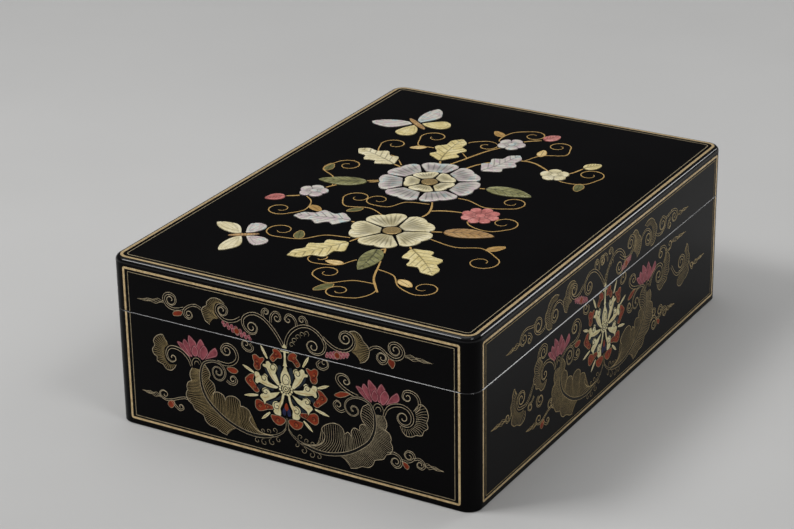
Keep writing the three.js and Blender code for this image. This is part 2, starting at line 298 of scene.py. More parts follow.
def black_lacquer(name, specular, edge=False):
    """Deep black lacquer, wiped and a little uneven.

    The edge's is painted grey in places at the seam, a painted highlight along its chamfer, and is
    glossier near the front right corner, where it is held most.
    """
    made = Finish(name, Specular_IOR_Level=specular)
    body = made.ramp(
        made.noise(9, 3), (0.3, (0.0012, 0.0011, 0.0014)), (0.7, (0.0022, 0.0020, 0.0024)))
    wiped = made.noise(14, 4, 0.6, 0.8)
    gloss = made.ramp(wiped, (0.35, 0.08), (0.75, 0.17))
    if edge:
        x, y, z = made.node("SeparateXYZ", {"Vector": made.place}).outputs
        seam = made.ramp(z, (BASE_HEIGHT * MM, 1), ((BASE_HEIGHT + 1) * MM, 0))
        # Painted highlight: patches of grey along the seam's chamfer, in place of a lamp's glint
        seam_highlight = made.ramp(
            made.noise(45, 4, 0.7), (0.40, (0.02, 0.02, 0.02)), (0.66, (0.15, 0.15, 0.155)))
        body = made.mix(seam, body, seam_highlight)
        off = made.node("Math", {0: y, 1: x}, operation="SUBTRACT").outputs[0]
        reach = (HALF_WIDTH + HALF_LENGTH) * MM
        from_corner = made.node("Math", {0: off, 1: reach}, operation="ADD").outputs[0]
        dull = made.mix(seam, (0, 0, 0), made.ramp(from_corner, (0.08, 0), (0.30, 1)))
        gloss = made.mix(dull, gloss, made.ramp(wiped, (0.3, 0.3), (0.7, 0.6)))
    grit = made.ramp(made.noise(2600, 2), (0.70, 0), (0.76, 1))
    peel = made.bump(made.noise(75, 2), 0.012)
    made.set(
        Base_Color=body,
        Roughness=made.mix(grit, gloss, (0.34, 0.34, 0.34)),
        Normal=made.bump(made.noise(900, 2), 0.0012, under=peel),
    )
    return made.material


def inner_lacquer():
    made = Finish("inner_lacquer", Specular_IOR_Level=0.4)
    brushed = made.noise(60, 5, 0.6, place=made.stretched(1, 12, 12))
    made.set(
        Base_Color=made.ramp(
            made.noise(12, 4), (0.3, (0.009, 0.007, 0.008)), (0.7, (0.016, 0.013, 0.014))),
        Roughness=made.ramp(brushed, (0.3, 0.36), (0.7, 0.5)),
        Normal=made.bump(brushed, 0.02),
    )
    return made.material


def gold(name, low, high, metallic, roughness):
    made = Finish(name, Metallic=metallic, Specular_IOR_Level=0.3)
    wear = made.noise(420, 4, 0.65)
    made.set(
        Base_Color=made.ramp(wear, (0.3, low), (0.62, high)),
        Roughness=made.ramp(wear, (0.3, roughness + 0.14), (0.7, roughness - 0.06)),
        Normal=made.bump(made.noise(2500, 2), 0.01),
    )
    return made.material


def paint(name, low, high):
    made = Finish(name, Roughness=0.42, Specular_IOR_Level=0.12)
    made.set(
        Base_Color=made.ramp(made.noise(260, 4, 0.6), (0.32, low), (0.68, high)),
        Normal=made.bump(made.noise(1400, 3), 0.02),
    )
    return made.material


def carved(made, body, dark):
    """Painted shade: a colour that darkens where the piece is carved, by the depth that relief()
    writes down.
    """
    cut_in = made.node("Attribute", attribute_name="cut").outputs["Fac"]
    return made.mix(made.ramp(cut_in, (0.08, 0), (0.30, 0.85)), body, dark)


def stone(name, dark, mid, light):
    """Polished stone with soft clouds and thin veins."""
    made = Finish(name, Roughness=0.3, Coat_Weight=0.25, Coat_Roughness=0.12)
    body = made.ramp(made.noise(110, 5, 0.6, 0.6), (0.28, dark), (0.5, mid), (0.74, light))
    vein = made.ramp(made.noise(170, 3, 0.5, 1.6), (0.47, 0), (0.5, 1), (0.53, 0))
    # The carved lines get painted shade, darker by their depth
    made.set(
        Base_Color=carved(made, made.mix(vein, body, dark), tuple(c * 0.3 for c in dark)),
        Normal=made.bump(made.noise(900, 3), 0.03),
    )
    return made.material


def pearl_shell():
    """Nacre: cloudy bands of pink, green and blue over a grey ground, with fine growth lines."""
    made = Finish("pearl_shell", Roughness=0.22, Coat_Weight=0.6, Coat_Roughness=0.06)
    body = made.ramp(
        made.noise(70, 3, 0.55, 2.2),
        (0.28, (0.40, 0.52, 0.52)), (0.36, (0.58, 0.54, 0.46)), (0.45, (0.56, 0.43, 0.47)),
        (0.51, (0.62, 0.58, 0.50)), (0.58, (0.66, 0.63, 0.56)), (0.64, (0.42, 0.54, 0.55)),
        (0.72, (0.60, 0.57, 0.50)), (0.80, (0.56, 0.52, 0.68)),
    )
    lines = made.noise(300, 4, 0.6, 1.2, place=made.stretched(1, 3.5, 1))
    # The carved lines get painted shade, grey by their depth
    made.set(Base_Color=carved(made, body, (0.14, 0.14, 0.13)), Normal=made.bump(lines, 0.05))
    return made.material


# The flat faces mirror little, so that they stay black over a pale floor
LACQUER = black_lacquer("black_lacquer", 0.055)
EDGE_LACQUER = black_lacquer("edge_lacquer", 0.28, edge=True)
INNER = inner_lacquer()

# The inlay's materials by their record slots. A stone has a dark, a middle and a light tone.
STONES = {
    "cream_stone": ((0.55, 0.47, 0.25), (0.76, 0.68, 0.44), (0.86, 0.80, 0.60)),
    "yellow_stone": ((0.50, 0.40, 0.15), (0.72, 0.60, 0.28), (0.84, 0.75, 0.45)),
    "ochre_stone": ((0.24, 0.13, 0.05), (0.46, 0.27, 0.10), (0.60, 0.40, 0.18)),
    "olive_stone": ((0.10, 0.10, 0.035), (0.24, 0.23, 0.09), (0.38, 0.37, 0.18)),
    "coral_stone": ((0.38, 0.10, 0.09), (0.60, 0.20, 0.18), (0.74, 0.36, 0.32)),
}
INLAY = {slot: stone(slot, *tones) for slot, tones in STONES.items()}
INLAY["pearl_shell"] = pearl_shell()
INLAY["gold_metal"] = gold("heart_gold", (0.45, 0.28, 0.10), (0.90, 0.66, 0.30), 0.85, 0.28)

# Colours of the painted work. A gold has a worn and a bright tone, how metallic it is and its
# roughness. A paint has its record slot, a dark and a light tone.
GOLDS = {
    "gold": ((0.52, 0.37, 0.18), (0.86, 0.65, 0.36), 0.6, 0.34),
    "fine_gold": ((0.36, 0.29, 0.18), (0.60, 0.50, 0.33), 0.35, 0.42),
    "old_gold": ((0.25, 0.20, 0.12), (0.46, 0.38, 0.24), 0.35, 0.42),
    "bright_brass": ((0.36, 0.27, 0.12), (0.60, 0.46, 0.22), 0.35, 0.42),
    "brass": ((0.25, 0.18, 0.07), (0.46, 0.34, 0.15), 0.35, 0.42),
    "amber": ((0.40, 0.23, 0.06), (0.68, 0.44, 0.16), 0.35, 0.4),
}
PAINTS = {
    "brown": ("ochre_stone", (0.005, 0.0035, 0.001), (0.017, 0.012, 0.004)),
    "olive": ("olive_stone", (0.07, 0.07, 0.025), (0.17, 0.165, 0.07)),
    "cream": ("cream_stone", (0.66, 0.57, 0.29), (0.88, 0.81, 0.52)),
    "straw": ("yellow_stone", (0.52, 0.37, 0.15), (0.74, 0.56, 0.28)),
    "ochre": ("ochre_stone", (0.30, 0.17, 0.05), (0.48, 0.30, 0.11)),
    "red": ("coral_stone", (0.16, 0.020, 0.007), (0.34, 0.045, 0.013)),
    "dark_red": ("coral_stone", (0.03, 0.005, 0.003), (0.06, 0.010, 0.007)),
    "pink": ("coral_stone", (0.19, 0.038, 0.050), (0.42, 0.10, 0.125)),
    "wine": ("coral_stone", (0.05, 0.008, 0.014), (0.09, 0.014, 0.024)),
    "blush": ("coral_stone", (0.42, 0.17, 0.18), (0.60, 0.30, 0.30)),
    "slate": ("black_lacquer", (0.008, 0.012, 0.018), (0.02, 0.03, 0.042)),
    "navy": ("black_lacquer", (0.010, 0.013, 0.05), (0.02, 0.026, 0.09)),
    "ink": ("black_lacquer", (0.0015, 0.0015, 0.0015), (0.003, 0.003, 0.003)),
}
COLOURS = {name: (gold(f"{name}_paint", *made_of), "gold_metal")
           for name, made_of in GOLDS.items()}
COLOURS |= {name: (paint(f"{name}_paint", *tones), slot)
            for name, (slot, *tones) in PAINTS.items()}

# On the long sides the gold is warmer
WARM_GOLD = {"old_gold": "brass", "fine_gold": "bright_brass"}


# Lacquered bodies. The sides stay inside the CAD faces by the paint's thickness.

def polish_edge(obj, low):
    """Gives the outer edge above a level, polished by hands, its own lacquer, whose seam has a
    painted highlight.
    """
    obj.data.materials.append(EDGE_LACQUER)
    for polygon in obj.data.polygons:
        x, y, z = (abs(c) for c in polygon.center / MM)
        outer = (x > HALF_WIDTH - TOP_EDGE_RADIUS or y > HALF_LENGTH - TOP_EDGE_RADIUS
                 or math.hypot(x - HALF_WIDTH, y - HALF_LENGTH) < CORNER_RADIUS)
        if z > low and outer and abs(polygon.normal.z) < 0.999:
            polygon.material_index = 1


def add_lacquer(body, skin, polish_from, *boards):
    obj = add_object(f"{body}_lacquer", *skin.merged(), LACQUER, "black_lacquer", body,
                     normals=skin.normals)
    polish_edge(obj, polish_from)
    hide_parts(*boards, *(f"{body}_{side}_wall" for side in SIDES))


def base_lacquer():
    skin = Skin()
    outer = [
        (rounded_rectangle(FOOT_CHAMFER + PAINT), 0, -70),
        (rounded_rectangle(PAINT + 0.2), 0.28, -40),
        (rounded_rectangle(PAINT), FOOT_CHAMFER, 0),
        (rounded_rectangle(PAINT), SEAM_LOW, 0),
    ]
    rim = rounded_rectangle(SEAM_CHAMFER + PAINT)
    skin.wall(outer, CORNER_WAYS)
    skin.wall([(outer[-1][0], SEAM_LOW, 48), (rim, BASE_HEIGHT, 54)], CORNER_WAYS)
    rebate, inner = rectangle(BASE_WALL - FLOOR_REBATE), rectangle(BASE_WALL)
    skin.flat([outer[0][0], rebate], 0, up=False)
    skin.wall([(rebate, FLOOR_TOP), (rebate, 0)])
    skin.flat([rebate, inner], FLOOR_TOP, up=False)
    skin.wall([(inner, BASE_HEIGHT), (inner, FLOOR_TOP)])
    skin.flat([rim, inner], BASE_HEIGHT)
    add_lacquer("base", skin, SEAM_LOW)


def lid_lacquer():
    skin = Skin()
    outer = [
        (rounded_rectangle(SEAM_CHAMFER + PAINT), BASE_HEIGHT, -80),
        (rounded_rectangle(PAINT + 0.15), BASE_HEIGHT + 0.15, -45),
        (rounded_rectangle(PAINT), SEAM_HIGH, 0),
    ]
    for tilt in np.linspace(0, 90, 11):
        sin, cos = math.sin(math.radians(tilt)), math.cos(math.radians(tilt))
        inset = PAINT + (TOP_EDGE_RADIUS - PAINT) * (1 - cos)
        outer.append((rounded_rectangle(inset), LID_TOP - TOP_EDGE_RADIUS * (1 - sin), tilt))
    skin.wall(outer, CORNER_WAYS)
    skin.flat([outer[-1][0], *pockets], LID_TOP)
    for pocket in pockets:
        skin.wall([(pocket[::-1], INLAY_FLOOR), (pocket[::-1], LID_TOP)])
        skin.flat([pocket], INLAY_FLOOR)
    inner = rectangle(LID_WALL)
    skin.flat([outer[0][0], inner], BASE_HEIGHT, up=False)
    skin.wall([(inner, LID_CEILING), (inner, BASE_HEIGHT)])
    skin.flat([inner], LID_CEILING, up=False)
    add_lacquer("lid", skin, LID_TOP - TOP_EDGE_RADIUS, "lid_top_board")


# Outlines of the inlay, which grow along +Y from their foot at the origin

CURVE_STEPS = 14
PETAL_STEPS = 10


def bezier(*points, steps=CURVE_STEPS):
    """Points along the Bezier curve of three or four points, without its first."""
    t = np.linspace(0, 1, steps + 1)[1:, None]
    degree = len(points) - 1
    return sum(
        math.comb(degree, i) * (1 - t) ** (degree - i) * t ** i * np.array(point, float)
        for i, point in enumerate(points)
    ).tolist()


def petal_outline(foot, length, petals):
    def half(share):
        reach = foot + share * length
        return (reach * math.sin(TAU / 2 / petals) - PETAL_GAP / 2) / math.cos(TAU / 2 / petals)

    widest = 0.62
    narrow, wide = half(0) * 0.85, half(widest)
    side = [(narrow, 0)]
    side += bezier(side[-1], (half(widest / 2) * 0.96, length * widest / 2),
                   (wide, length * widest), steps=PETAL_STEPS)
    side += bezier(side[-1], (wide * 1.02, length * 0.96), (wide * 0.42, length),
                   steps=PETAL_STEPS)
    side += bezier(side[-1], (wide * 0.12, length), (0, length * 0.93), steps=PETAL_STEPS // 2)
    return side + [(-x, y) for x, y in side[-2::-1]]


def leaf_outline(length, width, bend=0, lobes=0):
    """A leaf whose lobes lean forward to a point, each with two small teeth behind it."""
    steps = max(1, lobes) * 20
    right, left = [], []
    for step in range(1, steps):
        share = step / steps
        swell = math.sin(math.pi * share ** 0.8) ** 0.7
        lobe = 1
        if lobes:
            inner = (share * lobes % 1) ** 1.5
            teeth = 0.035 * abs(math.sin(3 * math.pi * inner))
            lobe = 0.56 + 0.42 * (1 - abs(2 * inner - 1) ** 1.25) - teeth
        half = width / 2 * swell * lobe
        middle = bend * share * share
        slope = math.atan2(2 * bend * share, length)
        side_x, side_y = math.cos(slope) * half, -math.sin(slope) * half
        right.append((middle + side_x, share * length + side_y))
        left.insert(0, (middle - side_x, share * length - side_y))
    return [(0, 0), *right, (bend, length), *left]


def blossom_outline(radius, petals):
    outline = []
    for step in range(petals * 16):
        angle = step / (petals * 16) * TAU
        reach = radius * (0.74 + 0.26 * abs(math.cos(petals * angle / 2)) ** 0.6)
        outline.append((reach * math.cos(angle), reach * math.sin(angle)))
    return outline


def ellipse_outline(radius_x, radius_y, steps=40):
    angles = np.arange(steps) / steps * TAU
    return np.stack([radius_x * np.cos(angles), radius_y * np.sin(angles)], 1).tolist()


# A wing's curves for a span of 1, each from the end of the one before. The first is its foot.
FOREWING = (
    ((0, 0.02),),
    ((0.14, 0.01), (0.34, 0), (0.4, 0.14)),
    ((0.5, 0.29), (0.46, 0.38)),
    ((0.32, 0.4), (0.09, 0.28), (0, 0.1)),
)
HINDWING = (
    ((0, -0.1),),
    ((0.02, -0.22), (0.12, -0.37), (0.24, -0.34)),
    ((0.38, -0.27), (0.34, -0.12)),
    ((0.26, -0.04), (0.08, -0.03), (0, -0.02)),
)


def wing_outline(wing, span):
    (foot,), *curves = [[(span * x, span * y) for x, y in curve] for curve in wing]
    outline = [foot]
    for curve in curves:
        outline += bezier(outline[-1], *curve)
    return outline


def shifted(outline, x, y):
    return [(px + x, py + y) for px, py in outline]


def mirrored(outline):
    return [(-x, y) for x, y in outline][::-1]


def on_top(points, u, v, degrees):
    """From an outline's own axes to the top: u runs along +Y, v along -X."""
    points = np.asarray(points, float)
    cos, sin = math.cos(math.radians(degrees)), math.sin(math.radians(degrees))
    at_u = u + points[:, 0] * sin + points[:, 1] * cos
    at_v = v - points[:, 0] * cos + points[:, 1] * sin
    return np.stack([-at_v, at_u], 1)


def grown(outline, distance):
    """An outline with its corners moved out by a distance."""
    points = np.asarray(outline, float)
    into, out = points - np.roll(points, 1, 0), np.roll(points, -1, 0) - points
    normals = []
    for edge in (into, out):
        normal = np.stack([edge[:, 1], -edge[:, 0]], 1)
        normals.append(normal / np.linalg.norm(normal, axis=1)[:, None])
    spread = np.maximum(0.6, 1 + (normals[0] * normals[1]).sum(1))
    return points + (normals[0] + normals[1]) * (distance / spread)[:, None]


def edge_distance(points, outline):
    """How far each point is from an outline."""
    a = np.asarray(outline, float)
    b = np.roll(a, -1, 0)
    best = np.full(len(points), np.inf)
    for p, q in zip(a, b):
        share = np.clip(((points - p) @ (q - p)) / max(1e-12, (q - p) @ (q - p)), 0, 1)
        best = np.minimum(best, np.hypot(*(points - p - share[:, None] * (q - p)).T))
    return best


# Carved inlay: the spacing of the points on top, how far in and down its edge is rounded, and how
# deep the carving may go
GRID = 0.55
EDGE_ROUNDING = 1.1
EDGE_DROP = 0.32
DEEPEST = 0.6
pockets = []


def relief(name, outline, carve, place, slot):
    """An inlay piece whose top is carved: carve(x, y, edge) gives how far it is cut down, in mm."""
    outline = np.asarray(outline, float)
    low, high = outline.min(0), outline.max(0)
    xs, ys = np.arange(low[0], high[0], GRID), np.arange(low[1], high[1], GRID)
    inner = np.stack(np.meshgrid(xs, ys), -1)
    inner[1::2, :, 0] += GRID / 2
    inner = inner.reshape(-1, 2)
    inner = inner[inside(inner, [outline])]
    inner = inner[edge_distance(inner, outline) > GRID * 0.45]
    points, triangles = fill([outline], inner)
    edge = edge_distance(points, outline)
    rounding = np.clip(edge / EDGE_ROUNDING, 0, 1)
    cut_in = carve(points[:, 0], points[:, 1], edge)
    depth = EDGE_DROP * (1 - np.sqrt(1 - (1 - rounding) ** 2)) + cut_in
    placed = on_top(points, *place)
    top = np.column_stack([placed, INLAY_TOP - np.clip(depth, 0, DEEPEST)])
    ahead = dict(open_edges(triangles))
    loop = [next(iter(ahead))]
    while ahead[loop[-1]] != loop[0]:
        loop.append(ahead[loop[-1]])
    count, size = len(points), len(loop)
    bottom = [(*placed[i], INLAY_FLOOR) for i in loop]
    faces = [list(t) for t in triangles]
    for i in range(size):
        j = (i + 1) % size
        faces.append([loop[j], loop[i], count + i, count + j])
    faces.append([count + i for i in range(size)][::-1])
    obj = add_object(name, [*top, *bottom], faces, INLAY[slot], slot, "lid", smooth_angle=40)
    # The depth of the cuts, which the materials turn into painted shade
    depths = obj.data.attributes.new("cut", "FLOAT", "POINT").data
    depths.foreach_set("value", [*cut_in, *[0] * len(bottom)])
    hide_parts(name)
    pockets.append(grown(placed[loop], INLAY_GAP))


def groove(distance, width, depth):
    """A rounded cut round the places where a distance is nought."""
    return depth * np.exp(-(distance / (width / 2)) ** 2)


def carve_petal(inner, outer):
    """Ribs that spread from the flower's middle, which is the origin here."""
    def carve(x, y, edge):
        turn = np.degrees(np.arctan2(x, y))
        reach = np.clip((y - inner) / (outer - inner), 0, 1)
        off = np.radians(turn - np.round(turn / 8) * 8) * y
        ribs = groove(off, 0.8, 0.24) * np.clip(edge / 2.5, 0, 1) * (0.35 + 0.65 * reach)
        cup = 0.16 * np.clip(edge / 4, 0, 1) * np.sin(math.pi * reach) ** 2
        return ribs + cup + 0.18 * (1 - reach) ** 2
    return carve


def carve_leaf(length, bend, lobes):
    spacing = length / (2 * lobes + 1) if lobes else length / 6

    def carve(x, y, edge):
        share = np.clip(y / length, 0, 1)
        off = x - bend * share ** 2
        rib = groove(off, 1.1, 0.36 * (1 - 0.5 * share))
        phase = (y - np.abs(off) * 0.95) / spacing
        branch = (phase - np.round(phase)) * spacing * 0.72
        veins = groove(branch, 0.85, 0.27) * np.clip(edge / 1.4, 0, 1) * (phase > 0.4)
        return np.maximum(rib, veins) + 0.06 * np.cos(phase * TAU) ** 2
    return carve


def carve_blossom(radius, petals):
    def carve(x, y, edge):
        reach = np.hypot(x, y)
        turn = np.arctan2(y, x) * petals / TAU
        between = np.abs(turn - np.round(turn - 0.5) - 0.5) * TAU / petals * reach
        cut_in = groove(between, 1.0, 0.34) * (reach > radius * 0.26)
        ring = groove(reach - radius * 0.26, 0.9, 0.3)
        bowl = 0.2 * np.clip(1 - np.abs(reach / radius - 0.45) / 0.3, 0, 1)
        return np.maximum.reduce([cut_in, ring, bowl])
    return carve


def carve_heart(x, y, edge):
    beads = 0.5 + 0.25 * (np.cos(x * 4.6) + np.cos((x * 0.5 + y * 0.866) * 4.6))
    return 0.26 * beads * np.clip(edge / 0.6, 0, 1)


def carve_wing(root, spokes):
    def carve(x, y, edge):
        turn = np.degrees(np.arctan2(y - root[1], np.abs(x) - root[0]))
        reach = np.hypot(np.abs(x) - root[0], y - root[1])
        cut_in = groove(edge - 2.2, 0.8, 0.2)
        for spoke in spokes:
            off = np.radians(turn - spoke) * reach
            cut_in = np.maximum(cut_in, groove(off, 0.8, 0.22) * (reach > 2))
        return cut_in
    return carve


def petals(name, middle, inner, outer, count, turn, slot):
    """A ring of petals that keeps a gap to what is inside it."""
    inner += PETAL_GAP
    outline = shifted(petal_outline(inner, outer - inner, count), 0, inner)
    for petal in range(count):
        place = (*middle, turn + 360 / count * petal)
        relief(f"{name}_{petal + 1}", outline, carve_petal(inner, outer), place, slot)


def heart(name, middle, radius):
    relief(name, ellipse_outline(radius, radius), carve_heart, (*middle, 0), "gold_metal")


def leaf(name, place, form, slot):
    length, _, bend, lobes = form
    relief(name, leaf_outline(*form), carve_leaf(length, bend, lobes), place, slot)


def blossom(name, place, radius, count, slot):
    relief(name, blossom_outline(radius, count), carve_blossom(radius, count), place, slot)


def butterfly(name, place, span, fore_slot, hind_slot):
    half = span * 0.04
    side = half + PETAL_GAP
    fore = shifted(wing_outline(FOREWING, span), side, PETAL_GAP / 2)
    hind = shifted(wing_outline(HINDWING, span), side, -PETAL_GAP / 2)
    carve_fore = carve_wing((side, span * 0.05), (16, 30, 43))
    carve_hind = carve_wing((side, -span * 0.06), (-18, -40, -62))
    for part, outline, carve, slot in (
        ("forewing_right", fore, carve_fore, fore_slot),
        ("forewing_left", mirrored(fore), carve_fore, fore_slot),
        ("hindwing_right", hind, carve_hind, hind_slot),
        ("hindwing_left", mirrored(hind), carve_hind, hind_slot),
    ):
        relief(f"{name}_{part}", outline, carve, place, slot)

    def carve_body(x, y, edge):
        return 0.22 * (0.5 + 0.5 * np.cos(y * 3.2)) * (y < span * 0.08)

    relief(f"{name}_body", ellipse_outline(half, span * 0.24), carve_body, place, "ochre_stone")


# The inlay of the top, where part.mjs has it. A place is u, v and a turn in degrees.

LOBED_LEAF = (42, 26, 6, 3)
LOBED_LEAF_BACK = (38, 24, -6, 3)
PLAIN_LEAF = (33, 14, 5, 0)
BUD = (14, 10, 0, 0)
LEAVES = (
    ((60, 27, 15), LOBED_LEAF, "yellow_stone"),
    ((39, 52, 60), LOBED_LEAF_BACK, "cream_stone"),
    ((3, 51, 118), PLAIN_LEAF, "olive_stone"),
    ((56, -7, -24), LOBED_LEAF_BACK, "pearl_shell"),
    ((29, -25, -80), PLAIN_LEAF, "olive_stone"),
    ((-91, 9, 155), LOBED_LEAF, "yellow_stone"),
    ((-60, 26, 96), LOBED_LEAF_BACK, "pearl_shell"),
    ((-49, -36, -66), PLAIN_LEAF, "ochre_stone"),
    ((-92, -13, 198), PLAIN_LEAF, "olive_stone"),
    ((-82, -32, 235), LOBED_LEAF, "yellow_stone"),
)
BLOSSOMS = (
    ((109, -2, 10), "pearl_shell"),
    ((72, -54, 40), "cream_stone"),
    ((-28, 74, 25), "pearl_shell"),
)
BUDS = (
    ((127, -18, -30), "coral_stone"),
    ((92, -66, -35), "yellow_stone"),
    ((-44, 86, 135), "coral_stone"),
)
PEARL_MIDDLE, PEARL_RADIUS, PEARL_RING, PEARL_HEART = (22, 14), 34, 17, 5.5
CREAM_MIDDLE, CREAM_RADIUS, CREAM_HEART = (-62, -6), 27, 6
CORAL_RADIUS, BLOSSOM_RADIUS = 13, 10


def spray():
    petals("pearl_peony_outer", PEARL_MIDDLE, PEARL_RING, PEARL_RADIUS, 7, 15, "pearl_shell")
    petals("pearl_peony_inner", PEARL_MIDDLE, PEARL_HEART, PEARL_RING, 5, 40, "cream_stone")
    heart("pearl_peony_heart", PEARL_MIDDLE, PEARL_HEART)
    petals("cream_peony", CREAM_MIDDLE, CREAM_HEART, CREAM_RADIUS, 5, 40, "cream_stone")
    heart("cream_peony_heart", CREAM_MIDDLE, CREAM_HEART)
    for number, piece in enumerate(LEAVES, 1):
        leaf(f"leaf_{number}", *piece)
    blossom("coral_blossom", (-14, -44, 0), CORAL_RADIUS, 8, "coral_stone")
    for number, (place, slot) in enumerate(BLOSSOMS, 1):
        blossom(f"blossom_{number}", place, BLOSSOM_RADIUS, 5, slot)
    for number, (place, slot) in enumerate(BUDS, 1):
        leaf(f"bud_{number}", place, BUD, slot)
    butterfly("butterfly_1", (114, 76, 55), 50, "pearl_shell", "yellow_stone")
    butterfly("butterfly_2", (-112, 74, 125), 42, "cream_stone", "pearl_shell")


# Painted work: low raised solids on the lacquer. A drawing is flat, with x to the right and y up in
# mm, and is placed on a face of the box by an origin and two axes.

FACES = {
    "front": ((0, PAINT - HALF_LENGTH, 0), (1, 0, 0), (0, 0, 1)),
    "right": ((HALF_WIDTH - PAINT, 0, 0), (0, 1, 0), (0, 0, 1)),
    "back": ((0, HALF_LENGTH - PAINT, 0), (-1, 0, 0), (0, 0, 1)),
    "left": ((PAINT - HALF_WIDTH, 0, 0), (0, -1, 0), (0, 0, 1)),
    "top": ((0, 0, LID_TOP), (0, 1, 0), (-1, 0, 0)),
}


def smooth_curve(points, closed=False, turn=9, reach=4):
    """A curve through points, thinned out to a step where it has turned or run on by enough."""
    points = [np.array(p, float) for p in points]
    if closed:
        points = [points[-1], *points, points[0], points[1]]
    else:
        points = [2 * points[0] - points[1], *points, 2 * points[-1] - points[-2]]
    dense = []
    t = np.linspace(0, 1, 16, endpoint=False)[:, None]
    for a, b, c, d in zip(points, points[1:], points[2:], points[3:]):
        dense.append(0.5 * (2 * b + (c - a) * t + (2 * a - 5 * b + 4 * c - d) * t ** 2
                            + (3 * b - a - 3 * c + d) * t ** 3))
    dense = np.concatenate(dense if closed else [*dense, [points[-2]]])
    steps = np.diff(dense, axis=0)
    lengths = np.hypot(*steps.T)
    headings = np.unwrap(np.arctan2(steps[:, 1], steps[:, 0]))
    kept, heading, run = [0], headings[0], 0
    for i in range(1, len(steps)):
        run += lengths[i - 1]
        if abs(headings[i] - heading) > math.radians(turn) or run > reach:
            kept.append(i)
            heading, run = headings[i], 0
    if not closed:
        kept.append(len(dense) - 1)
    return dense[kept]


def closed_curve(points):
    return smooth_curve(points, closed=True, turn=14)


def arc_share(line):
    """How far along a line each of its points is, from 0 to 1."""
    run = np.concatenate([[0], np.cumsum(np.hypot(*np.diff(line, axis=0).T))])
    return run / run[-1]


def along(line, share):
    """The places at shares of a line's length."""
    at = arc_share(line)
    return np.stack([np.interp(share, at, line[:, 0]), np.interp(share, at, line[:, 1])], -1)


def left_normals(line):
    ways = np.gradient(line, axis=0)
    ways /= np.maximum(1e-9, np.hypot(*ways.T))[:, None]
    return np.stack([-ways[:, 1], ways[:, 0]], 1)


def wound(points):
    """The points of a line, with a curl at its end where the last entry asks for one."""
    if len(points[-1]) == 2:
        return points
    *points, (x, y, turns) = points
    (x0, y0), (x1, y1) = points[-2:]
    reach, start = math.hypot(x1 - x, y1 - y), math.atan2(y1 - y, x1 - x)
    way = math.copysign(1, (x1 - x) * (y1 - y0) - (y1 - y) * (x1 - x0))
    for share in np.linspace(0, 1, round(turns * 10) + 1)[1:]:
        angle = start + way * share * turns * TAU
        radius = reach * (1 - 0.76 * share)
        points.append((x + radius * math.cos(angle), y + radius * math.sin(angle)))
    return points


def turned_left(outline):
    x, y = np.asarray(outline, float).T
    return (x * np.roll(y, -1) - y * np.roll(x, -1)).sum() > 0


def cut(vertices, faces, level, above):
    """What of a closed solid is above or below a level of its second coordinate, closed again."""
    mesh = bmesh.new()
    made = [mesh.verts.new(v) for v in vertices]
    for face in faces:
        mesh.faces.new([made[i] for i in face])
    bmesh.ops.bisect_plane(
        mesh, geom=[*mesh.verts, *mesh.edges, *mesh.faces], plane_co=(0, level, 0),
        plane_no=(0, 1, 0), clear_inner=above, clear_outer=not above,
    )
    bmesh.ops.holes_fill(mesh, edges=[e for e in mesh.edges if e.is_boundary], sides=0)
    mesh.verts.index_update()
    result = [tuple(v.co) for v in mesh.verts], [[v.index for v in f.verts] for f in mesh.faces]
    mesh.free()
    return result


